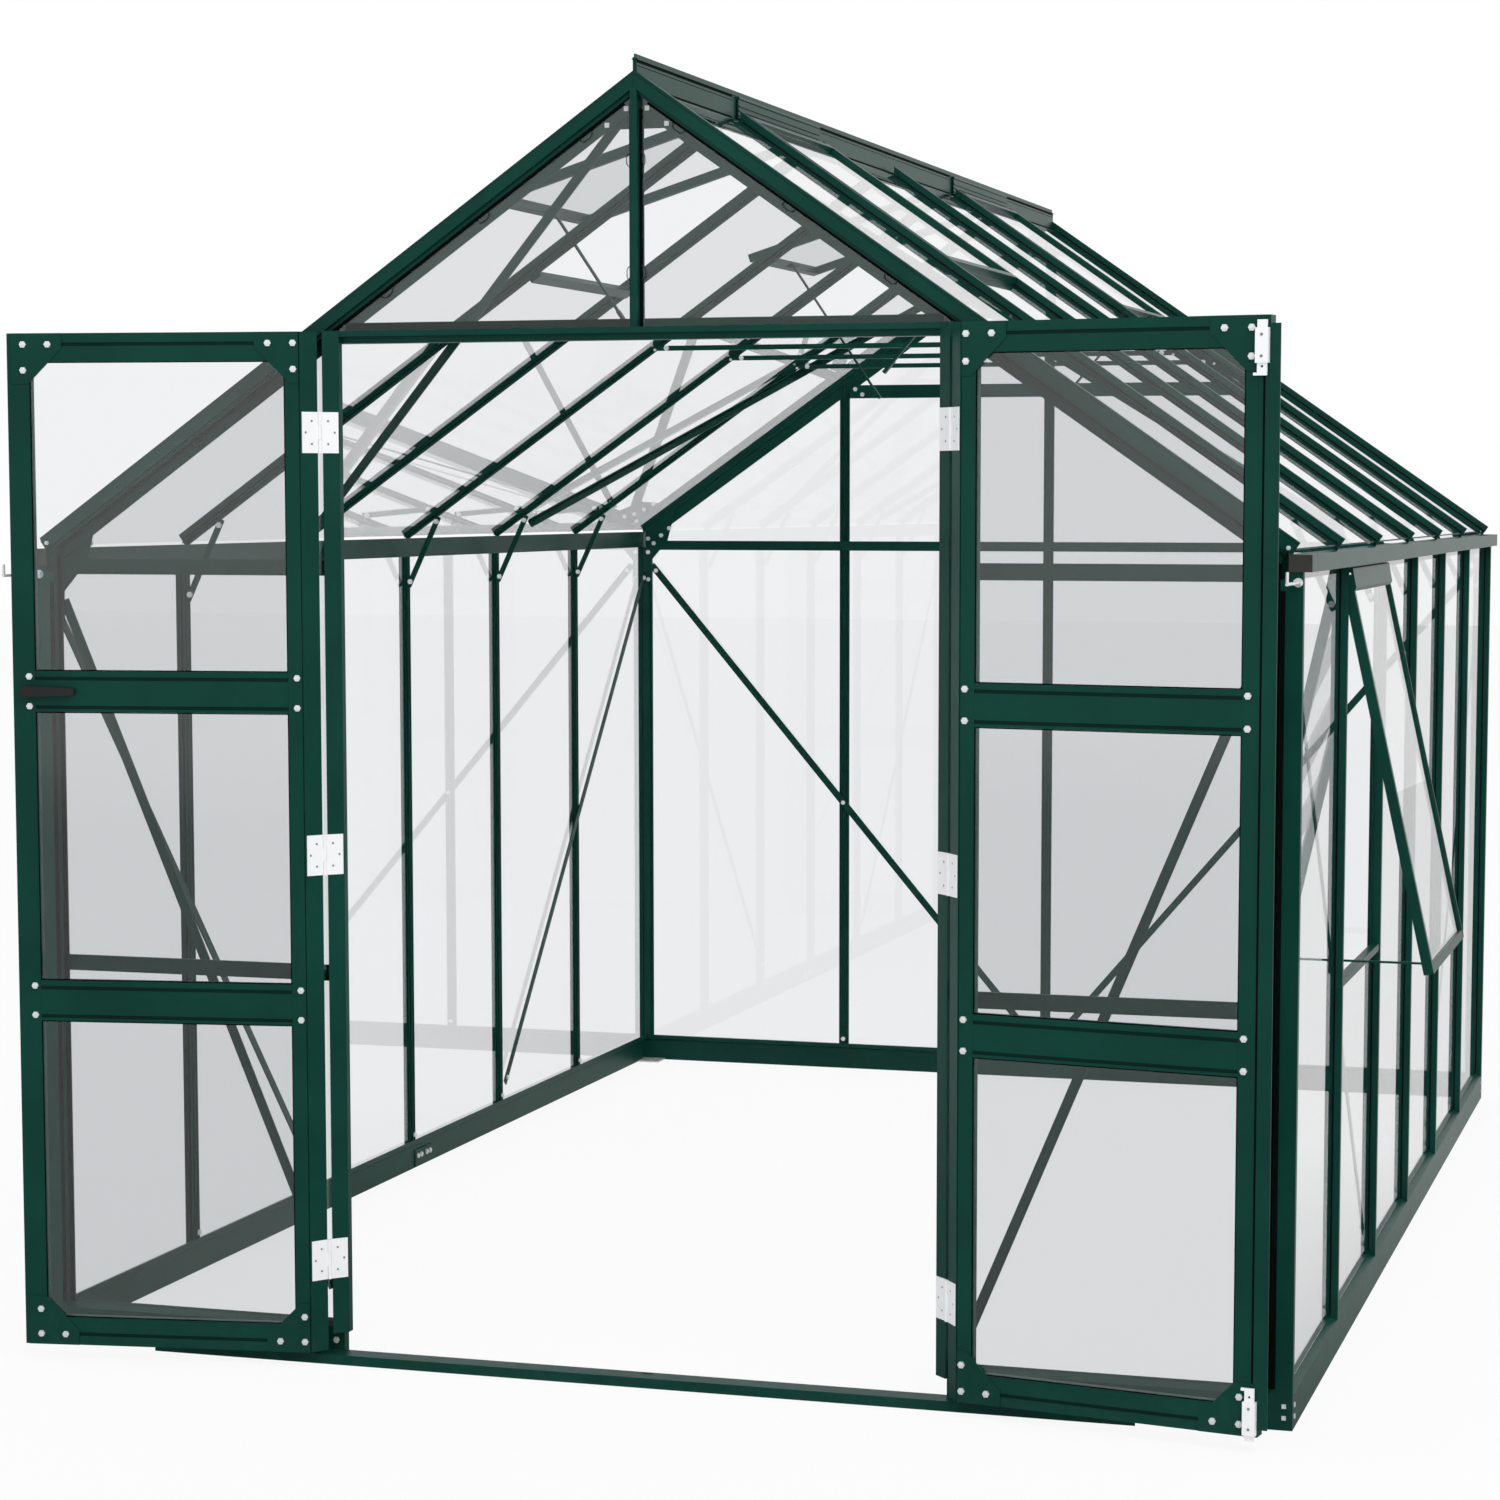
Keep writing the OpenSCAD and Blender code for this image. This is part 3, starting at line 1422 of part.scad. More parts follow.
module side_vent_stay() {
    in_x = side_x - seat_d + 0.5;
    color(green) side_opened() translate([in_x - 5, side_stay_y, side_lug_z])
        rotate([0, side_vent_open, 0]) difference() {
        union() {
            translate([-side_stay_len, -side_stay_w / 2 + butt, -2])
                cube([side_stay_len - 3, side_stay_w - 2 * butt, 4]);
            translate([0, -side_stay_w / 2, 0]) rotate([-90, 0, 0]) cylinder(r = 4.5, h = side_stay_w);
        }
        translate([0, -12, 0]) rotate([-90, 0, 0]) cylinder(r = pin_r + run, h = 24);
    }
}

base_rails();
anchor_plates();
splice_plates();
threshold_bar();
corner_posts();
door_posts();
side_bars();
rear_bars();
gable_bar();
lintel();
cross_rails();
eave_rails();
gutters();
gutter_end_caps();
gable_rafters();
roof_bars();
ridge_beam();
collar_ties();
knee_braces();
diagonal_braces();
frame_gussets();
frame_bolts();
vent_sills();
wall_glass();
roof_glass();
post_hinge_leaves();
hook_brackets();
left_door_frame();
left_door_glass();
left_door_gussets();
left_door_bolts();
left_door_hinges();
right_door_frame();
right_door_glass();
right_door_gussets();
right_door_bolts();
right_door_hinges();
astragal();
bolt_cases();
door_handle();
top_bolt();
bottom_bolt();
left_hook();
right_hook();
left_front_vent();
left_rear_vent();
right_front_vent();
right_rear_vent();
left_front_pane();
left_rear_pane();
right_front_pane();
right_rear_pane();
left_front_stay();
left_rear_stay();
right_front_stay();
right_rear_stay();
side_vent();
side_vent_pane();
side_vent_stay();
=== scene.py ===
# %% [markdown]
# # A garden greenhouse, dressed for its portrait
# The solids of the house come from its construction file: green frame sections, panes, doors, vents and
# fixings, each a named node at its real place in metres. This lesson gives every one of them a finish that is
# worked out with nodes, and adds the small soft and thin things that a solid model leaves out, such as the
# black seals that the panes lie in and the spring wires that hold them.

# %% Load the solids
import json
import math

import bpy
import numpy as np
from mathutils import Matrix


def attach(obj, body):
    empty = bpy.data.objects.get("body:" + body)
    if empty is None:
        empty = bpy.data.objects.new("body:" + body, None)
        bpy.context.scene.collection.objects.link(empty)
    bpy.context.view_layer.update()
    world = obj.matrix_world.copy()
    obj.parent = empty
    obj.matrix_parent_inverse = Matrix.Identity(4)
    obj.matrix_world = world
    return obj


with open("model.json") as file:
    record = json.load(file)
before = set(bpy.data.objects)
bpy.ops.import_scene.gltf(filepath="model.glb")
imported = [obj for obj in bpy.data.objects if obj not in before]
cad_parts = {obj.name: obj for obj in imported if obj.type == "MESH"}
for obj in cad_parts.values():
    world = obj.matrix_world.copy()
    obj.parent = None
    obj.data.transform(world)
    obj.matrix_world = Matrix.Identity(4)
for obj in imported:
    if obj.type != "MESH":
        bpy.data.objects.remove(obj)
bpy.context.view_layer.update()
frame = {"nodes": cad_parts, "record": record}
nodes = frame["nodes"]


def colour(red, green, blue):
    """A screen colour of 0 to 255 as the linear colour that a shader reads."""
    screen = np.array([red, green, blue]) / 255
    linear = np.where(screen <= 0.04045, screen / 12.92, ((screen + 0.055) / 1.055) ** 2.4)
    return (*linear.tolist(), 1.0)


# %% [markdown]
# ## Measures of the house
# The pieces that are added here sit on the solids, so the same few measures that drive the construction
# file are written down once, in metres: the bay that the panes set, the depth of the glass behind a bar's
# nose, the slope of the roof, and the pins, rails and grooves of the doors.

# %% Measures of the house
bay = 0.625
line_x = 2 * bay
line_y = 3 * bay
side_x = line_x + 0.035
half_len = line_y + 0.0113
seat_d = 0.020
glass_t = 0.004
glass_d = seat_d - glass_t
nose_half = 0.007
nose_up = 0.007
wall_h = 1.580
eave_top = wall_h + 0.014
pitch = math.radians(34.93)
tip_x = line_x + 0.0223
apex_z = wall_h + 0.0618 + tip_x * math.tan(pitch)
tip_s = tip_x / math.cos(pitch)
base_top = 0.077
wing_in = 0.648
pin_x = 0.634
pin_y = -half_len - 0.0462
door_turn = math.radians(171.1)
door_t = 0.028
door_low = 0.0296
door_high = 2.051
door_seen = door_t - 0.002
hinge_in = 0.062
free_u = pin_x - 0.0104
free_in = free_u - 0.045
wide_rails = (1.347, 0.729)
wide_half = 0.0405
end_rail = 0.056
end_groove = 0.022
wide_grooves = (0.0255, -0.0315)
hinge_places = (0.214, 1.026, 1.856)
leaf_w, leaf_h = 0.039, 0.080
screw_spots = ((0.45, 0.22), (0.8, 0.5), (0.45, 0.78))
screw_seat = 0.0012
leaf_screw = (0.0021, 0.0005)
case_screw = (0.0026, 0.0008)
lintel_top = 2.054
vent_bays = (1, 4)
vent_end = 0.564
side_vent_bay = 1
side_sill = 0.744
side_hinge = (side_x + 0.0039, wall_h + 0.007)
side_open = math.radians(12.5)
print("apex", round(apex_z, 4), "slope length", round(tip_s, 4))

# %% [markdown]
# ## The camera
# The portrait was taken from about head height, well to the right of the doors and turned back to the house.
# Its place, turn and lens were found by matching corners of known size, and the frame is square.

# %% Camera
camera = bpy.data.objects.new("camera", bpy.data.cameras.new("camera"))
bpy.context.scene.collection.objects.link(camera)
camera.location = (2.1818, -8.2241, 1.7271)
camera.rotation_euler = (math.pi / 2 - 0.0904, 0.0, 0.2894)
camera.data.sensor_width = 36
camera.data.lens = 83.377
camera.data.shift_x = -0.02115
camera.data.shift_y = 0.04247
camera.data.clip_end = 200
bpy.context.scene.camera = camera
print("camera at", tuple(round(v, 3) for v in camera.location))

# %% [markdown]
# ## Effects that several finishes share
# Real coats are never one flat colour. Three small node groups hold what the finishes have in common: an even
# orange-peel skin, a thin film of garden dust that thickens near the ground, and fine rolled streaks. Each
# puts out only colours, masks and normals, and each finish gives it its own values.


# %% Shared effects
def group(name, inputs, outputs):
    """An empty node group with named float, colour or vector sockets."""
    tree = bpy.data.node_groups.new(name, "ShaderNodeTree")
    for label, kind, value in inputs:
        socket = tree.interface.new_socket(label, in_out="INPUT", socket_type=kind)
        if value is not None:
            socket.default_value = value
    for label, kind in outputs:
        tree.interface.new_socket(label, in_out="OUTPUT", socket_type=kind)
    return tree, tree.nodes.new("NodeGroupInput"), tree.nodes.new("NodeGroupOutput")


def noise(tree, position, scale, detail=3.0, rough=0.5):
    """A noise texture that reads the given position."""
    texture = tree.nodes.new("ShaderNodeTexNoise")
    texture.inputs["Scale"].default_value = scale
    texture.inputs["Detail"].default_value = detail
    texture.inputs["Roughness"].default_value = rough
    tree.links.new(position, texture.inputs["Vector"])
    return texture.outputs["Fac"]


def remap(tree, value, low, high, to_low, to_high):
    """A straight-line change of a value's range, held at both ends."""
    node = tree.nodes.new("ShaderNodeMapRange")
    for key, number in (("From Min", low), ("From Max", high), ("To Min", to_low), ("To Max", to_high)):
        node.inputs[key].default_value = number
    tree.links.new(value, node.inputs["Value"])
    return node.outputs["Result"]


def blend(tree, factor, first, second):
    """Mixes two colours by a factor."""
    node = tree.nodes.new("ShaderNodeMix")
    node.data_type = "RGBA"
    for key, value in (("Factor", factor), ("A", first), ("B", second)):
        socket = node.inputs[key]
        if hasattr(value, "is_linked"):
            tree.links.new(value, socket)
        else:
            socket.default_value = value
    return node.outputs["Result"]


def maths(tree, kind, first, second):
    """One sum of two values or sockets."""
    node = tree.nodes.new("ShaderNodeMath")
    node.operation = kind
    for socket, value in zip(node.inputs, (first, second)):
        if hasattr(value, "is_linked"):
            tree.links.new(value, socket)
        else:
            socket.default_value = value
    return node.outputs[0]


def skin_group():
    """Sprayed skin: a fine bump of two noises, and a slow drift of tone."""
    tree, source, out = group("sprayed skin",
        [("Position", "NodeSocketVector", None), ("Grain", "NodeSocketFloat", 420.0),
         ("Depth", "NodeSocketFloat", 0.12)],
        [("Normal", "NodeSocketVector"), ("Tone", "NodeSocketFloat")])
    grain = tree.nodes.new("ShaderNodeTexNoise")
    grain.inputs["Detail"].default_value = 2.0
    tree.links.new(source.outputs["Position"], grain.inputs["Vector"])
    tree.links.new(source.outputs["Grain"], grain.inputs["Scale"])
    bump = tree.nodes.new("ShaderNodeBump")
    bump.inputs["Distance"].default_value = 0.0004
    tree.links.new(source.outputs["Depth"], bump.inputs["Strength"])
    tree.links.new(grain.outputs["Fac"], bump.inputs["Height"])
    tree.links.new(bump.outputs["Normal"], out.inputs["Normal"])
    tree.links.new(noise(tree, source.outputs["Position"], 5.0, 4.0), out.inputs["Tone"])
    return tree


def dust_group():
    """Dust: patchy noise times a share that falls off with height above the ground."""
    tree, source, out = group("garden dust",
        [("Position", "NodeSocketVector", None), ("Amount", "NodeSocketFloat", 0.3),
         ("Reach", "NodeSocketFloat", 0.16)],
        [("Mask", "NodeSocketFloat")])
    parts = tree.nodes.new("ShaderNodeSeparateXYZ")
    tree.links.new(source.outputs["Position"], parts.inputs[0])
    height = maths(tree, "DIVIDE", parts.outputs["Z"], source.outputs["Reach"])
    near = remap(tree, height, 0.0, 1.0, 1.0, 0.12)
    patches = remap(tree, noise(tree, source.outputs["Position"], 38.0, 5.0, 0.62), 0.42, 0.72, 0.25, 1.0)
    share = maths(tree, "MULTIPLY", maths(tree, "MULTIPLY", near, patches), source.outputs["Amount"])
    tree.links.new(share, out.inputs["Mask"])
    return tree


def streak_group():
    """Rolled metal: noise drawn out along one direction, as a mask and a bump."""
    tree, source, out = group("rolled streaks",
        [("Position", "NodeSocketVector", None), ("Depth", "NodeSocketFloat", 0.15)],
        [("Mask", "NodeSocketFloat"), ("Normal", "NodeSocketVector")])
    drawn = tree.nodes.new("ShaderNodeMapping")
    drawn.inputs["Scale"].default_value = (900.0, 900.0, 60.0)
    tree.links.new(source.outputs["Position"], drawn.inputs["Vector"])
    mask = noise(tree, drawn.outputs["Vector"], 1.0, 3.0)
    bump = tree.nodes.new("ShaderNodeBump")
    bump.inputs["Distance"].default_value = 0.0002
    tree.links.new(source.outputs["Depth"], bump.inputs["Strength"])
    tree.links.new(mask, bump.inputs["Height"])
    tree.links.new(mask, out.inputs["Mask"])
    tree.links.new(bump.outputs["Normal"], out.inputs["Normal"])
    return tree


skin = skin_group()
dust = dust_group()
streaks = streak_group()
print("shared effects:", skin.name, dust.name, streaks.name)

# %% [markdown]
# ## The finishes
# The frame is powder-coated in a dark green that looks nearly black-green face on and grey-green where it is
# seen along its length, because the coat mirrors the pale surroundings there. The same recipe, with other
# values, makes the white coat of the hinges and slide bolts. Bolts are bright zinc, seals are matt rubber.


# %% Coats
def place(tree, effect, **values):
    """Puts a shared effect into a finish, reading Object coordinates."""
    node = tree.nodes.new("ShaderNodeGroup")
    node.node_tree = effect
    where = tree.nodes.new("ShaderNodeTexCoord")
    tree.links.new(where.outputs["Object"], node.inputs["Position"])
    for key, value in values.items():
        node.inputs[key].default_value = value
    return node


def finish(name):
    """A new material with its tree and its one Principled shader."""
    material = bpy.data.materials.new(name)
    material.use_nodes = True
    tree = material.node_tree
    return material, tree, tree.nodes["Principled BSDF"]


def coat(name, dark, light, dusty, roughness, specular, grain=420.0, depth=0.12, dust_amount=0.3):
    """Sprayed coat: colour drifts from dark to light with the tone, dust lies over it."""
    material, tree, shader = finish(name)
    surface = place(tree, skin, Grain=grain, Depth=depth)
    film = place(tree, dust, Amount=dust_amount)
    drift = remap(tree, surface.outputs["Tone"], 0.35, 0.65, 0.0, 1.0)
    tree.links.new(blend(tree, film.outputs["Mask"], blend(tree, drift, dark, light), dusty),
                   shader.inputs["Base Color"])
    tree.links.new(remap(tree, film.outputs["Mask"], 0.0, 0.5, roughness, min(roughness + 0.25, 1.0)),
                   shader.inputs["Roughness"])
    tree.links.new(surface.outputs["Normal"], shader.inputs["Normal"])
    shader.inputs["Specular IOR Level"].default_value = specular
    return material


green_coat = coat("green coat", colour(6, 58, 48), colour(9, 65, 54), colour(60, 88, 78), 0.34, 0.11,
                  dust_amount=0.15)
white_coat = coat("white coat", colour(250, 251, 252), colour(254, 254, 254), colour(214, 212, 206),
                  0.35, 0.4, dust_amount=0.1)
black_coat = coat("black handle", colour(14, 15, 16), colour(22, 23, 24), colour(80, 80, 78), 0.42, 0.4,
                  grain=700.0, dust_amount=0.08)
grey_caps = coat("grey end cap", colour(50, 47, 44), colour(60, 56, 53), colour(110, 106, 100), 0.55, 0.4,
                 grain=900.0, depth=0.2, dust_amount=0.25)
# Black seal rubber; the same black also paints shade as thin strips on the ridge and at the right astragal.
black_rubber_and_shade = coat("black seal rubber and painted shade", colour(7, 10, 10), colour(11, 14, 14), colour(30, 35, 35), 0.75, 0.03,
              grain=1100.0, depth=0.25, dust_amount=0.08)
# Painted shade: a darker green for thin strips that lie in the door rails' grooves, where shade falls.
groove_shade_green = coat("painted shade in a groove", colour(3, 35, 28), colour(5, 40, 32), colour(26, 52, 45), 0.5, 0.08,
                  dust_amount=0.1)
screw_coat = coat("passivated screw", colour(122, 118, 116), colour(146, 142, 140), colour(120, 116, 110),
                  0.4, 0.5, dust_amount=0.15)
coats = (green_coat, white_coat, black_coat, grey_caps, black_rubber_and_shade, groove_shade_green, screw_coat)
print("coats:", [material.name for material in coats])

# %% Bright metal


def bright(name, light, shade, roughness, metallic):
    """Zinc-plated steel: rolled streaks move the colour and the roughness a little."""
    material, tree, shader = finish(name)
    drawn = place(tree, streaks, Depth=0.12)
    film = place(tree, dust, Amount=0.2)
    metal = blend(tree, drawn.outputs["Mask"], shade, light)
    tree.links.new(blend(tree, film.outputs["Mask"], metal, colour(150, 146, 138)),
                   shader.inputs["Base Color"])
    tree.links.new(remap(tree, drawn.outputs["Mask"], 0.3, 0.7, roughness, roughness + 0.12),
                   shader.inputs["Roughness"])
    tree.links.new(drawn.outputs["Normal"], shader.inputs["Normal"])
    shader.inputs["Metallic"].default_value = metallic
    return material


plated = bright("zinc plating", colour(250, 252, 251), colour(226, 231, 230), 0.3, 0.35)
spring_wire = bright("spring wire", colour(70, 74, 74), colour(40, 43, 43), 0.3, 0.8)
print("metals:", plated.name, spring_wire.name)

# %% [markdown]
# ## The glass
# Horticultural glass is 4 mm thick, clear, and faintly blue-grey where several panes lie one behind another.
# A thin film of dust makes its mirror a touch soft. Light has to reach the frame behind it, so a shadow ray
# passes straight through with a small loss, as through a real pane. So does a ray that has been through one
# pane already: the second mirror image of a mirror image is too faint to see, and it would only add grain.

# %% Glass


def glass(name, tint, cloudy):
    """A refracting pane whose roughness follows a thin film of dust."""
    material, tree, shader = finish(name)
    film = place(tree, dust, Amount=1.0, Reach=0.5)
    shader.inputs["Base Color"].default_value = tint
    shader.inputs["Transmission Weight"].default_value = 1.0
    shader.inputs["IOR"].default_value = 1.5
    tree.links.new(remap(tree, film.outputs["Mask"], 0.0, 1.0, 0.0, cloudy), shader.inputs["Roughness"])
    path = tree.nodes.new("ShaderNodeLightPath")
    clear = tree.nodes.new("ShaderNodeBsdfTransparent")
    clear.inputs["Color"].default_value = (0.915, 0.919, 0.921, 1.0)
    both = tree.nodes.new("ShaderNodeMixShader")
    out = tree.nodes["Material Output"]
    second = maths(tree, "GREATER_THAN", path.outputs["Transmission Depth"], 1.5)
    tree.links.new(maths(tree, "MAXIMUM", path.outputs["Is Shadow Ray"], second), both.inputs["Fac"])
    tree.links.new(shader.outputs["BSDF"], both.inputs[1])
    tree.links.new(clear.outputs["BSDF"], both.inputs[2])
    tree.links.new(both.outputs["Shader"], out.inputs["Surface"])
    return material


pane_glass = glass("pane glass", colour(240, 241, 242), 0.05)
print("glass:", pane_glass.name)

# %% [markdown]
# ## Dressing the solids
# Each node of the construction file gets the finish that its record names. The meshes stay as they are: only
# their material slots change.

# %% Dress the solids
slot_finish = {"green_coat": green_coat, "glazing": pane_glass, "plain_metal": plated,
               "white_coat": white_coat, "black_handle": black_coat, "grey_caps": grey_caps}
slot_of = {entry["node"]: entry["material_slot"] for entry in frame["record"]["subparts"]}


def dress(solid, material):
    """One finish on a whole solid."""
    solid.data.materials.clear()
    solid.data.materials.append(material)


for name, solid in nodes.items():
    dress(solid, slot_finish[slot_of[name]])
print("dressed", len(nodes), "solids")

# %% [markdown]
# ## Profiles carried along a path
# Seals, wires and trims are all the same kind of shape: a small outline that is carried along a straight or
# bent path. One function makes the grid of points for any of them, as whole arrays, and one face closes each
# end. Several runs are joined into one mesh, so that a whole wall's seals are one piece.

# %% Carried profiles


def carried(outline, path, across, up):
    """Vertices and faces of an outline carried along a path.

    Point (i, j) is path[i] + outline[j, 0] * across[i] + outline[j, 1] * up[i]; the grid closes around j,
    and each end is one face."""
    outline = np.asarray(outline, float)
    path = np.asarray(path, float)
    across = np.broadcast_to(np.asarray(across, float), path.shape)
    up = np.broadcast_to(np.asarray(up, float), path.shape)
    around = len(outline)
    points = (path[:, None] + outline[None, :, 0, None] * across[:, None]
              + outline[None, :, 1, None] * up[:, None]).reshape(-1, 3)
    i, j = np.meshgrid(np.arange(len(path) - 1), np.arange(around), indexing="ij")
    first = (i * around + j).ravel()
    second = (i * around + (j + 1) % around).ravel()
    sides = np.stack([first, second, second + around, first + around], 1).tolist()
    last = (len(path) - 1) * around
    ends = [list(range(around - 1, -1, -1)), list(range(last, last + around))]
    return points, sides + ends


def ring(count, radius):
    """Outline of a round wire: radius times (cos, sin) at even turns."""
    turn = np.arange(count) * 2 * math.pi / count
    return np.stack([radius * np.cos(turn), radius * np.sin(turn)], 1)


def along(path):
    """Unit directions of a path at its points, each the mean of the two stretches that meet there."""
    step = np.diff(path, axis=0)
    step /= np.linalg.norm(step, axis=1, keepdims=True)
    mean = np.vstack([step[:1], step[:-1] + step[1:], step[-1:]])
    return mean / np.linalg.norm(mean, axis=1, keepdims=True)


def wire(path, radius, count=8, guide=(0.3, 0.2, 0.93)):
    """A round wire: a ring carried along a path, turned to face along it."""
    path = np.asarray(path, float)
    ahead = along(path)
    across = np.cross(ahead, np.asarray(guide, float))
    across /= np.linalg.norm(across, axis=1, keepdims=True)
    return carried(ring(count, radius), path, across, np.cross(ahead, across))


def turned_out(points, faces):
    """Turns a closed run's faces outward: its signed volume, the sum of a.(b x c) / 6, must be positive."""
    fans = [(f[0], f[k], f[k + 1]) for f in faces for k in range(1, len(f) - 1)]
    a, b, c = (points[np.array(fans)[:, k]] for k in range(3))
    volume = np.einsum("ij,ij->i", a, np.cross(b, c)).sum() / 6
    return faces if volume > 0 else [f[::-1] for f in faces]


def piece(name, runs, material, body, smooth=False):
    """One object from several runs, dressed, and riding on a body of the house."""
    points, faces, start = [], [], 0
    for run_points, run_faces in runs:
        points.append(run_points)
        faces += [[start + v for v in f] for f in turned_out(run_points, run_faces)]
        start += len(run_points)
    mesh = bpy.data.meshes.new(name)
    mesh.from_pydata(np.vstack(points).tolist(), [], faces)
    mesh.update()
    mesh.shade_smooth() if smooth else mesh.shade_flat()
    made = bpy.data.objects.new(name, mesh)
    bpy.context.scene.collection.objects.link(made)
    made.data.materials.append(material)
    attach(made, body)
    print(name, len(mesh.vertices), "points")
    return made


def straight(outline, start, end, across, up):
    """An outline carried from one point to another."""
    return carried(outline, np.array([start, end], float), across, up)


print("profile tools ready")

# %% [markdown]
# ## Seals of the fixed panes
# Every pane lies in black rubber. Outside it shows as a lip on both sides of each bar's nose. Its outline is
# a low wedge, thick at the nose and thin on the glass, as wide as the bar's flange behind. A carried outline
# keeps it crisp at a few points a run, where a displaced strip would need many.

# %% Seals of the fixed panes
lip = np.array([[0.0002, 0.0001], [0.0078, 0.0001], [0.0076, 0.0007], [0.0028, 0.0014], [0.0002, 0.0018]])
gable_lip = lip * (0.78, 1.0)
rafter_lip = lip * (0.62, 1.0)
lip_end = 0.001
last_line = 6


def face_seal(start, end, away, out, outline=lip):
    """A lip along one side of a nose: it starts beside the nose and lies on the outer face of the glass."""
    return straight(outline, start, end, away, out)


def side_wall_seals(side):
    """Both lips of each wall bar, one at each corner post, and none above the sill of the open vent."""
    runs = []
    x = side * (side_x - glass_d)
    for k in range(last_line + 1):
        for turn in (-1, 1):
            if (k == 0 and turn < 0) or (k == last_line and turn > 0):
                continue
            pane_bay = k if turn > 0 else k - 1
            top = side_sill if side > 0 and pane_bay == side_vent_bay else eave_top - lip_end
            y = -line_y + bay * k + turn * nose_half
            runs.append(face_seal((x, y, base_top), (x, y, top), (0, turn, 0), (side, 0, 0)))
    return runs


def slope_point(s, t, y, side):
    """A point of a roof slope: s down the slope from the apex, t off the roof plane."""
    return (side * (s * math.cos(pitch) + t * math.sin(pitch)), y,
            apex_z - s * math.sin(pitch) + t * math.cos(pitch))


ridge_edge = 0.036
tip_gap = 0.006


def roof_seals(side):
    """Both lips of each roof bar, and one at each gable rafter; vent bays start below the vents."""
    out = (side * math.sin(pitch), 0, math.cos(pitch))
    runs = []
    for k in range(last_line + 1):
        for turn in (-1, 1):
            if (k == 0 and turn < 0) or (k == last_line and turn > 0):
                continue
            pane_bay = k if turn > 0 else k - 1
            top = vent_end + 0.004 if pane_bay in vent_bays else ridge_edge
            y = -line_y + bay * k + turn * nose_half
            runs.append(face_seal(slope_point(top, nose_up - glass_d, y, side),
                                  slope_point(tip_s - tip_gap, nose_up - glass_d, y, side),
                                  (0, turn, 0), out))
    return runs


piece("wall_seals", side_wall_seals(-1) + side_wall_seals(1), black_rubber_and_shade, "frame")
piece("slope_seals", roof_seals(-1) + roof_seals(1), black_rubber_and_shade, "frame")

# %% Seals of the gables
apex_gap = 0.03
post_head = wall_h + 0.03


def gable_height(x, drop=0.024):
    """Height of the glass under a gable rafter at x."""
    return apex_z - abs(x) * math.tan(pitch) - drop / math.cos(pitch)


def gable_seals():
    """Lips beside the upright bars of both gables, on the outer face of the glass."""
    runs = []
    front, rear = -half_len + glass_d, half_len - glass_d
    for side in (-1, 1):
        x = side * nose_half
        runs.append(face_seal((x, front, lintel_top + lip_end), (x, front, gable_height(x) - apex_gap),
                              (side, 0, 0), (0, -1, 0), gable_lip))
        wing_x, post_x = side * wing_in, side * (line_x - nose_half)
        runs.append(face_seal((wing_x, front, base_top), (wing_x, front, gable_height(wing_in + 0.012)),
                              (side, 0, 0), (0, -1, 0)))
        for y, out in ((front, -1), (rear, 1)):
            runs.append(face_seal((post_x, y, base_top), (post_x, y, post_head), (-side, 0, 0), (0, out, 0)))
    for x in (-bay, 0.0, bay):
        for turn in (-1, 1):
            edge = x + turn * nose_half
            top = gable_height(edge) - (apex_gap if x == 0 else tip_gap)
            runs.append(face_seal((edge, rear, base_top), (edge, rear, top), (turn, 0, 0), (0, 1, 0)))
    return runs


rafter_low = 0.0345


def rafter_seals():
    """The lip under each gable rafter's face."""
    runs = []
    drop = nose_up - rafter_low
    for end in (-1, 1):
        y = end * (half_len - glass_d)
        for side in (-1, 1):
            down = (-side * math.sin(pitch), 0, -math.cos(pitch))
            runs.append(face_seal(slope_point(0.05, drop, y, side),
                                  slope_point(tip_s - apex_gap, drop, y, side),
                                  down, (0, end, 0), rafter_lip))
    return runs


piece("gable_seals", gable_seals() + rafter_seals(), black_rubber_and_shade, "frame")

# %% [markdown]
# ## Corner strips and painted shade on the ridge
# The end panes run into a black strip at each corner post, which covers most of the post's nose. On the ridge
# thin black strips are painted shade: a dark groove below the top band, a fine line under it, and the shadow
# line where the roof panes go under the ridge.

# %% Corner strips and painted shade on the ridge


def block(low, high):
    """A straight block between two corners whose sides follow the axes."""
    low, high = np.array(low, float), np.array(high, float)
    wide, deep, tall = high - low
    outline = [(0, 0), (wide, 0), (wide, deep), (0, deep)]
    return straight(outline, low, low + (0, 0, tall), (1, 0, 0), (0, 1, 0))


def on_both_sides(low, high):
    """The same block on both sides of the middle plane; x is given for the right side."""
    return [block(low, high), block((-high[0], low[1], low[2]), (-low[0], high[1], high[2]))]


corner_in, corner_out, corner_t = 0.0066, 0.0024, 0.0008
corner_runs = []
for end in (-1, 1):
    front, back = sorted((end * half_len, end * (half_len + corner_t)))
    corner_runs += on_both_sides((line_x - corner_in, front, base_top),
                                 (line_x + corner_out, back, wall_h - 0.02))
piece("corner_strips", corner_runs, black_rubber_and_shade, "frame")

# The ridge between the vents; painted shade strips from the top: groove, fine line, gap over the panes
ridge_x = 0.004
ridge_end, vent_side = half_len - 0.012, 0.02
ridge_stretches = ((-ridge_end, -line_y + bay - vent_side),
                   (-line_y + 2 * bay + vent_side, -line_y + 4 * bay - vent_side),
                   (-line_y + 5 * bay + vent_side, ridge_end))
ridge_shade_rows = ((2.5538, 2.5587, 0.0006), (2.5475, 2.5485, 0.0005), (2.5104, 2.5148, 0.0008))
ridge_shade_runs = []
for start, end in ridge_stretches:
    for low, high, thick in ridge_shade_rows:
        ridge_shade_runs += on_both_sides((ridge_x, start, low), (ridge_x + thick, end, high))
piece("ridge_shade_lines", ridge_shade_runs, black_rubber_and_shade, "frame")

# %% [markdown]
# ## Wire clips
# Spring wires hold the panes into the seals. From outside only their dark loops show, hooked out from under
# the rafters and the middle bar of the front gable.

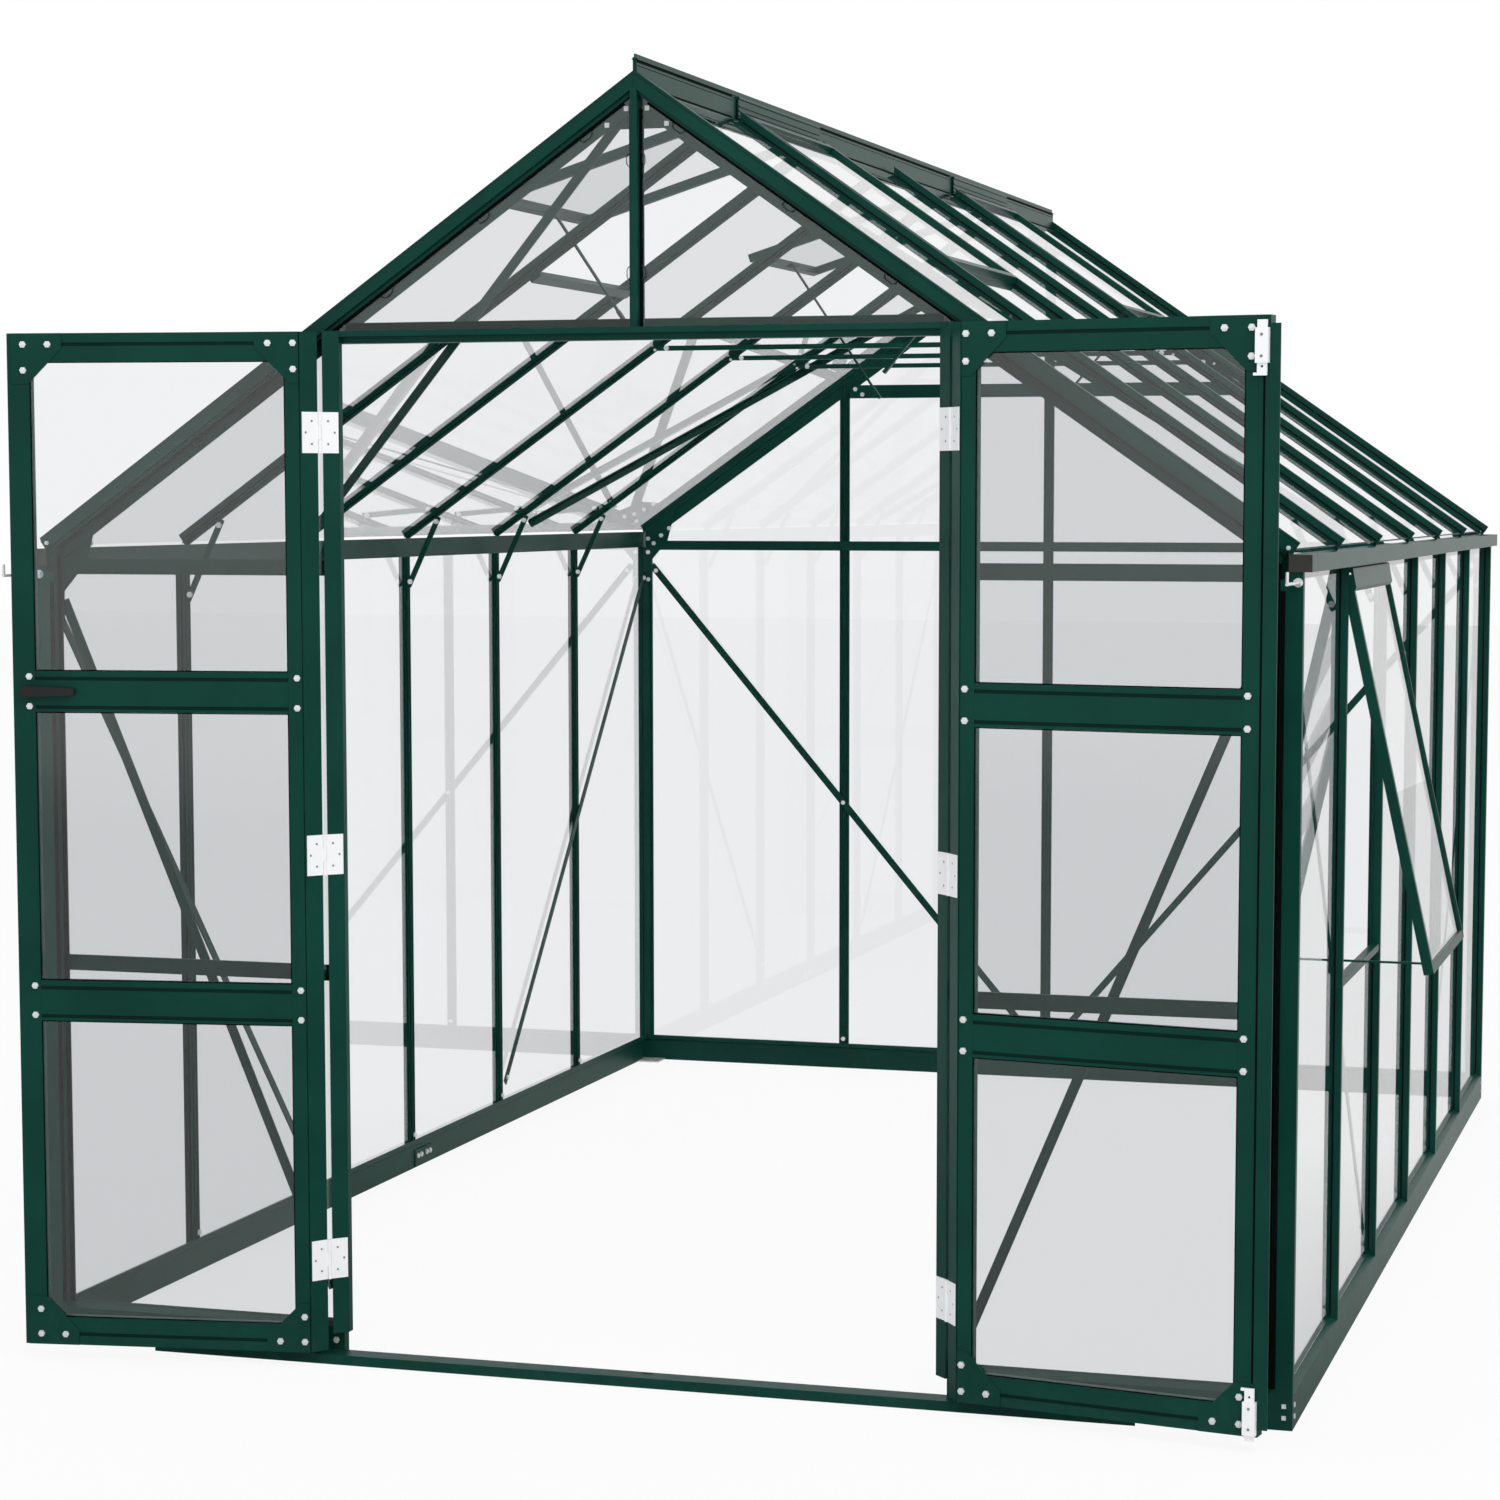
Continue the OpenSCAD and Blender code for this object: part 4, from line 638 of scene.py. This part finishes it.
# %% Wire clips
clip_r = 0.0009
clip_y = -half_len + glass_d - 2 * clip_r
clip_edge = nose_up - 0.041
clip_bend = np.array([[-0.014, 0.004], [-0.013, -0.002], [-0.0105, -0.0055], [-0.006, -0.0075],
                      [0.006, -0.0075], [0.0105, -0.0055], [0.013, -0.002], [0.014, 0.004]])
clips_left = (0.148, 0.406, 0.653, 0.9, 1.15)
clips_right = (0.128, 0.395, 0.637, 0.9, 1.15)
clips_middle = (2.371, 2.157)


def slope_clip(s, side):
    """A loop that hangs off a gable rafter's lower edge at s down the slope."""
    return wire([slope_point(s + ahead, clip_edge + down, clip_y, side) for ahead, down in clip_bend], clip_r)


def upright_clip(z, side):
    """A loop beside the middle bar."""
    return wire([(side * (0.011 - down), clip_y, z + ahead) for ahead, down in clip_bend], clip_r)


clip_runs = [slope_clip(s, -1) for s in clips_left] + [slope_clip(s, 1) for s in clips_right]
clip_runs += [upright_clip(z, side) for side in (-1, 1) for z in clips_middle]
piece("glass_clips", clip_runs, spring_wire, "frame", smooth=True)

# %% [markdown]
# ## Seals and small fixings of the doors
# The doors stand wide open, turned back to the front wall. Points on a door are written as u from its pin to
# the free edge, n from its outer to its inner face, which is the one in view, and z. The panes get a thin
# black seal. The rails' grooves get dark green strips of painted shade, and the right door's astragal a black
# one.

# %% Seals and small fixings of the doors


def door_point(side, u, n, z):
    """A point of an open door: the closed place turned about the pin by the door's angle."""
    turn = math.pi - door_turn
    return np.array((side * (pin_x + u * math.cos(turn) - n * math.sin(turn)),
                     pin_y - u * math.sin(turn) - n * math.cos(turn), z))


def door_dirs(side):
    """The door's directions along u and n."""
    turn = math.pi - door_turn
    return (np.array((side * math.cos(turn), -math.sin(turn), 0.0)),
            np.array((-side * math.sin(turn), -math.cos(turn), 0.0)))


def door_bar(side, low, high):
    """A block on a door between two corners given as u, n, z."""
    wide, deep = high[0] - low[0], high[1] - low[1]
    outline = [(0, 0), (wide, 0), (wide, deep), (0, deep)]
    return straight(outline, door_point(side, *low), door_point(side, low[0], low[1], high[2]),
                    *door_dirs(side))


def door_frame(side, u_low, u_high, z_low, z_high, wide, n_low, n_high):
    """Four blocks around the inside of an opening."""
    return [door_bar(side, (u_low, n_low, z_low), (u_low + wide, n_high, z_high)),
            door_bar(side, (u_high - wide, n_low, z_low), (u_high, n_high, z_high)),
            door_bar(side, (u_low + wide, n_low, z_low), (u_high - wide, n_high, z_low + wide)),
            door_bar(side, (u_low + wide, n_low, z_high - wide), (u_high - wide, n_high, z_high))]


upper, lower = wide_rails
pane_fields = ((door_low + end_rail, lower - wide_half), (lower + wide_half, upper - wide_half),
               (upper + wide_half, door_high - end_rail))
groove_places = [door_high - end_groove, door_low + end_groove]
groove_places += [z + up for z in wide_rails for up in wide_grooves]
skin_t, seal_w, seal_t = 0.0001, 0.0022, 0.0012
off_edge, groove_gap, groove_half, groove_shade_t = 0.0002, 0.001, 0.0034, 0.0006
astragal_shade_in, astragal_shade_out, astragal_shade_end = 0.0125, 0.0082, 0.016
for side, name in ((1, "right"), (-1, "left")):
    seal_and_shade_runs, groove_shade_runs = [], []
    for low, high in pane_fields:
        seal_and_shade_runs += door_frame(side, hinge_in + off_edge, free_in - off_edge, low + off_edge,
                                high - off_edge, seal_w, door_seen + skin_t, door_seen + seal_t)
    # Painted shade: a dark green strip on the floor of each rail groove.
    for z in groove_places:
        groove_shade_runs.append(door_bar(side, (hinge_in + groove_gap, door_seen + skin_t, z - groove_half),
                                    (free_in - groove_gap, door_seen + groove_shade_t, z + groove_half)))
    # Painted shade: a black strip along the right door's astragal darkens the line between stile and
    # astragal.
    if side > 0:
        seal_and_shade_runs.append(door_bar(side, (free_u - astragal_shade_in, door_t, door_low + astragal_shade_end),
                                  (free_u - astragal_shade_out, door_t + seal_t, door_high - astragal_shade_end)))
    piece(f"{name}_door_seals_and_shade", seal_and_shade_runs, black_rubber_and_shade, f"{name}_door")
    piece(f"{name}_door_groove_shade", groove_shade_runs, groove_shade_green, f"{name}_door")


# %% [markdown]
# ## Screws of the hinges and bolt cases
# Each hinge leaf lies at half a right angle between post and door and is held by three countersunk screws,
# and each bolt case by two. Their heads are low round pillars on the floor of the recess.

# %% Hinge and bolt screws


def screw(centre, normal, size, count=14):
    """A small screw head of a radius and height: a ring carried along its level normal."""
    radius, height = size
    normal = np.asarray(normal, float) / np.linalg.norm(normal)
    across = np.cross(normal, (0.0, 0.0, 1.0))
    across /= np.linalg.norm(across)
    centre = np.asarray(centre, float)
    return straight(ring(count, radius), centre, centre + height * normal, across, np.cross(normal, across))


root = math.sqrt(0.5)
case_screws = [z + up for z in (1.997, 0.0656) for up in (-0.019, 0.019)]
case_u, case_n = free_u - 0.0126, 0.0428
for side, name in ((1, "right"), (-1, "left")):
    fixed_runs, moving_runs = [], []
    along_u, along_n = door_dirs(side)
    for z in hinge_places:
        for across, up in screw_spots:
            reach, height = across * leaf_w, z + (up - 0.5) * leaf_h
            u, n = root * (reach + screw_seat), root * (reach - screw_seat)
            fixed_runs.append(screw((side * (pin_x - n), pin_y + u, height), (-side * root, -root, 0),
                                    leaf_screw))
            moving_runs.append(screw(door_point(side, u, n, height), root * (along_n - along_u),
                                     leaf_screw))
    if side > 0:
        moving_runs += [screw(door_point(side, case_u, case_n, z), along_n, case_screw)
                        for z in case_screws]
    piece(f"{name}_hinge_screws", fixed_runs, screw_coat, "frame")
    piece(f"{name}_door_screws", moving_runs, screw_coat, f"{name}_door")

# %% [markdown]
# ## Edges of the side vent
# The side vent leans out under its head, like a flap. Its rear upright carries a dark strip outside and along
# its edge. Points on it are written as for the closed vent and turned about its hinge.

# %% Edges of the side vent


def side_vent_point(x, y, z):
    """A point of the opened side vent: the closed place turned about the hinge by the open angle."""
    out, up = x - side_hinge[0], z - side_hinge[1]
    return (side_hinge[0] + out * math.cos(side_open) - up * math.sin(side_open), y,
            side_hinge[1] + out * math.sin(side_open) + up * math.cos(side_open))


def side_vent_bar(low, high):
    """A block on the side vent between two corners of its closed place."""
    wide, deep = high[0] - low[0], high[1] - low[1]
    outline = [(0, 0), (wide, 0), (wide, deep), (0, deep)]
    return straight(outline, side_vent_point(*low), side_vent_point(low[0], low[1], high[2]),
                    (math.cos(side_open), 0, math.sin(side_open)), (0, 1, 0))


side_out = side_x + 0.001
side_low, side_high = 0.762, 1.542
stile_in, stile_out = -0.641, -0.633
stile_runs = [side_vent_bar((side_out, stile_in, side_low), (side_out + 0.0007, stile_out, side_high)),
              side_vent_bar((side_out - 0.0165, stile_out - 0.0004, side_low),
                            (side_out, stile_out + 0.0002, side_high))]
piece("side_vent_trim", stile_runs, grey_caps, "side_vent")

# %% [markdown]
# ## Floor, background and light
# The house stands on a plain white floor that runs into a white background. The floor is white to the
# camera and through glass, and keeps a soft share of the real light, so that the house still casts a faint
# shadow. In a mirror the floor in front of the house is grey, which gives the panes their grey tone, and it
# turns paler far off and behind. Light comes from the whole sky and from one large soft lamp, at a level
# where a coat renders about as its colour is written.

# %% Floor and background
white = (1.0, 1.0, 1.0, 1.0)


def backdrop_material(name, own, near, shaded):
    """White to the camera and through glass, dimmer in mirrors near the house; a share takes the shadow."""
    material, tree, shader = finish(name)
    shader.inputs["Base Color"].default_value = (0.9, 0.9, 0.9, 1.0)
    shader.inputs["Roughness"].default_value = 0.6
    shader.inputs["Specular IOR Level"].default_value = 0.0
    path = tree.nodes.new("ShaderNodeLightPath")
    glow = tree.nodes.new("ShaderNodeEmission")
    glow.inputs["Color"].default_value = white
    spot = tree.nodes.new("ShaderNodeTexCoord")
    parts = tree.nodes.new("ShaderNodeSeparateXYZ")
    tree.links.new(spot.outputs["Object"], parts.inputs[0])
    far = remap(tree, parts.outputs["Y"], -19.0, -13.0, 1.0, 0.0)
    behind = remap(tree, parts.outputs["Y"], -2.0, 1.0, 0.0, 0.75)
    in_mirror = remap(tree, maths(tree, "MAXIMUM", far, behind), 0.0, 1.0, near, own)
    choice = tree.nodes.new("ShaderNodeMix")
    choice.inputs["A"].default_value = own
    mirror_only = maths(tree, "SUBTRACT", path.outputs["Is Glossy Ray"], path.outputs["Is Transmission Ray"])
    tree.links.new(maths(tree, "MAXIMUM", mirror_only, 0.0), choice.inputs["Factor"])
    tree.links.new(in_mirror, choice.inputs["B"])
    tree.links.new(choice.outputs["Result"], glow.inputs["Strength"])
    seen = maths(tree, "MAXIMUM", path.outputs["Is Camera Ray"],
                 maths(tree, "MAXIMUM", path.outputs["Is Glossy Ray"], path.outputs["Is Transmission Ray"]))
    both = tree.nodes.new("ShaderNodeMixShader")
    tree.links.new(maths(tree, "MULTIPLY", seen, 1.0 - shaded), both.inputs["Fac"])
    tree.links.new(shader.outputs["BSDF"], both.inputs[1])
    tree.links.new(glow.outputs["Emission"], both.inputs[2])
    tree.links.new(both.outputs["Shader"], tree.nodes["Material Output"].inputs["Surface"])
    return material


floor_drop = 0.0005


def flat_grid(width, depth, count):
    """A level grid of points, a hair below z = 0 so that it never lies in the plane of the base."""
    x, y = np.meshgrid(np.linspace(-width / 2, width / 2, count), np.linspace(-depth / 2, depth / 2, count))
    points = np.stack([x.ravel(), y.ravel(), np.full(x.size, -floor_drop)], 1)
    i, j = np.meshgrid(np.arange(count - 1), np.arange(count - 1), indexing="ij")
    a = (i * count + j).ravel()
    return points, np.stack([a, a + 1, a + count + 1, a + count], 1).tolist()


floor_points, floor_faces = flat_grid(80.0, 80.0, 5)
floor_mesh = bpy.data.meshes.new("floor")
floor_mesh.from_pydata(floor_points.tolist(), [], floor_faces)
floor = bpy.data.objects.new("floor", floor_mesh)
bpy.context.scene.collection.objects.link(floor)
floor.data.materials.append(backdrop_material("white floor", 1.0, 0.25, 0.10))

# %% Sky and lamp
world = bpy.data.worlds.new("pale studio")
bpy.context.scene.world = world
world.use_nodes = True
sky = world.node_tree
sky_light = sky.nodes["Background"]
sky_light.inputs["Color"].default_value = (0.97, 0.985, 1.0, 1.0)
sky_light.inputs["Strength"].default_value = 0.8
sky_seen = sky.nodes.new("ShaderNodeBackground")
sky_seen.inputs["Color"].default_value = white
sky_seen.inputs["Strength"].default_value = 1.0
sky_path = sky.nodes.new("ShaderNodeLightPath")
sky_both = sky.nodes.new("ShaderNodeMixShader")
sky_mirror = maths(sky, "MAXIMUM", sky_path.outputs["Is Glossy Ray"], sky_path.outputs["Is Transmission Ray"])
sky_rays = maths(sky, "MAXIMUM", sky_path.outputs["Is Camera Ray"], sky_mirror)
sky.links.new(sky_rays, sky_both.inputs["Fac"])
sky.links.new(sky_light.outputs["Background"], sky_both.inputs[1])
sky.links.new(sky_seen.outputs["Background"], sky_both.inputs[2])
sky.links.new(sky_both.outputs["Shader"], sky.nodes["World Output"].inputs["Surface"])

lamp = bpy.data.objects.new("soft lamp", bpy.data.lights.new("soft lamp", "AREA"))
bpy.context.scene.collection.objects.link(lamp)
lamp.data.shape = "DISK"
lamp.data.size = 6.0
lamp.data.energy = 260.0
lamp.location = (4.5, -6.0, 7.5)
aim_x, aim_y, aim_z = np.array((0.0, 0.0, 1.0)) - np.array(lamp.location)
lamp.rotation_euler = (math.atan2(math.hypot(aim_x, aim_y), -aim_z), 0.0,
                       math.atan2(aim_y, aim_x) - math.pi / 2)
bpy.context.scene.view_settings.view_transform = "Standard"
print("one lamp of", lamp.data.energy, "watts, sky at", sky_light.inputs["Strength"].default_value)
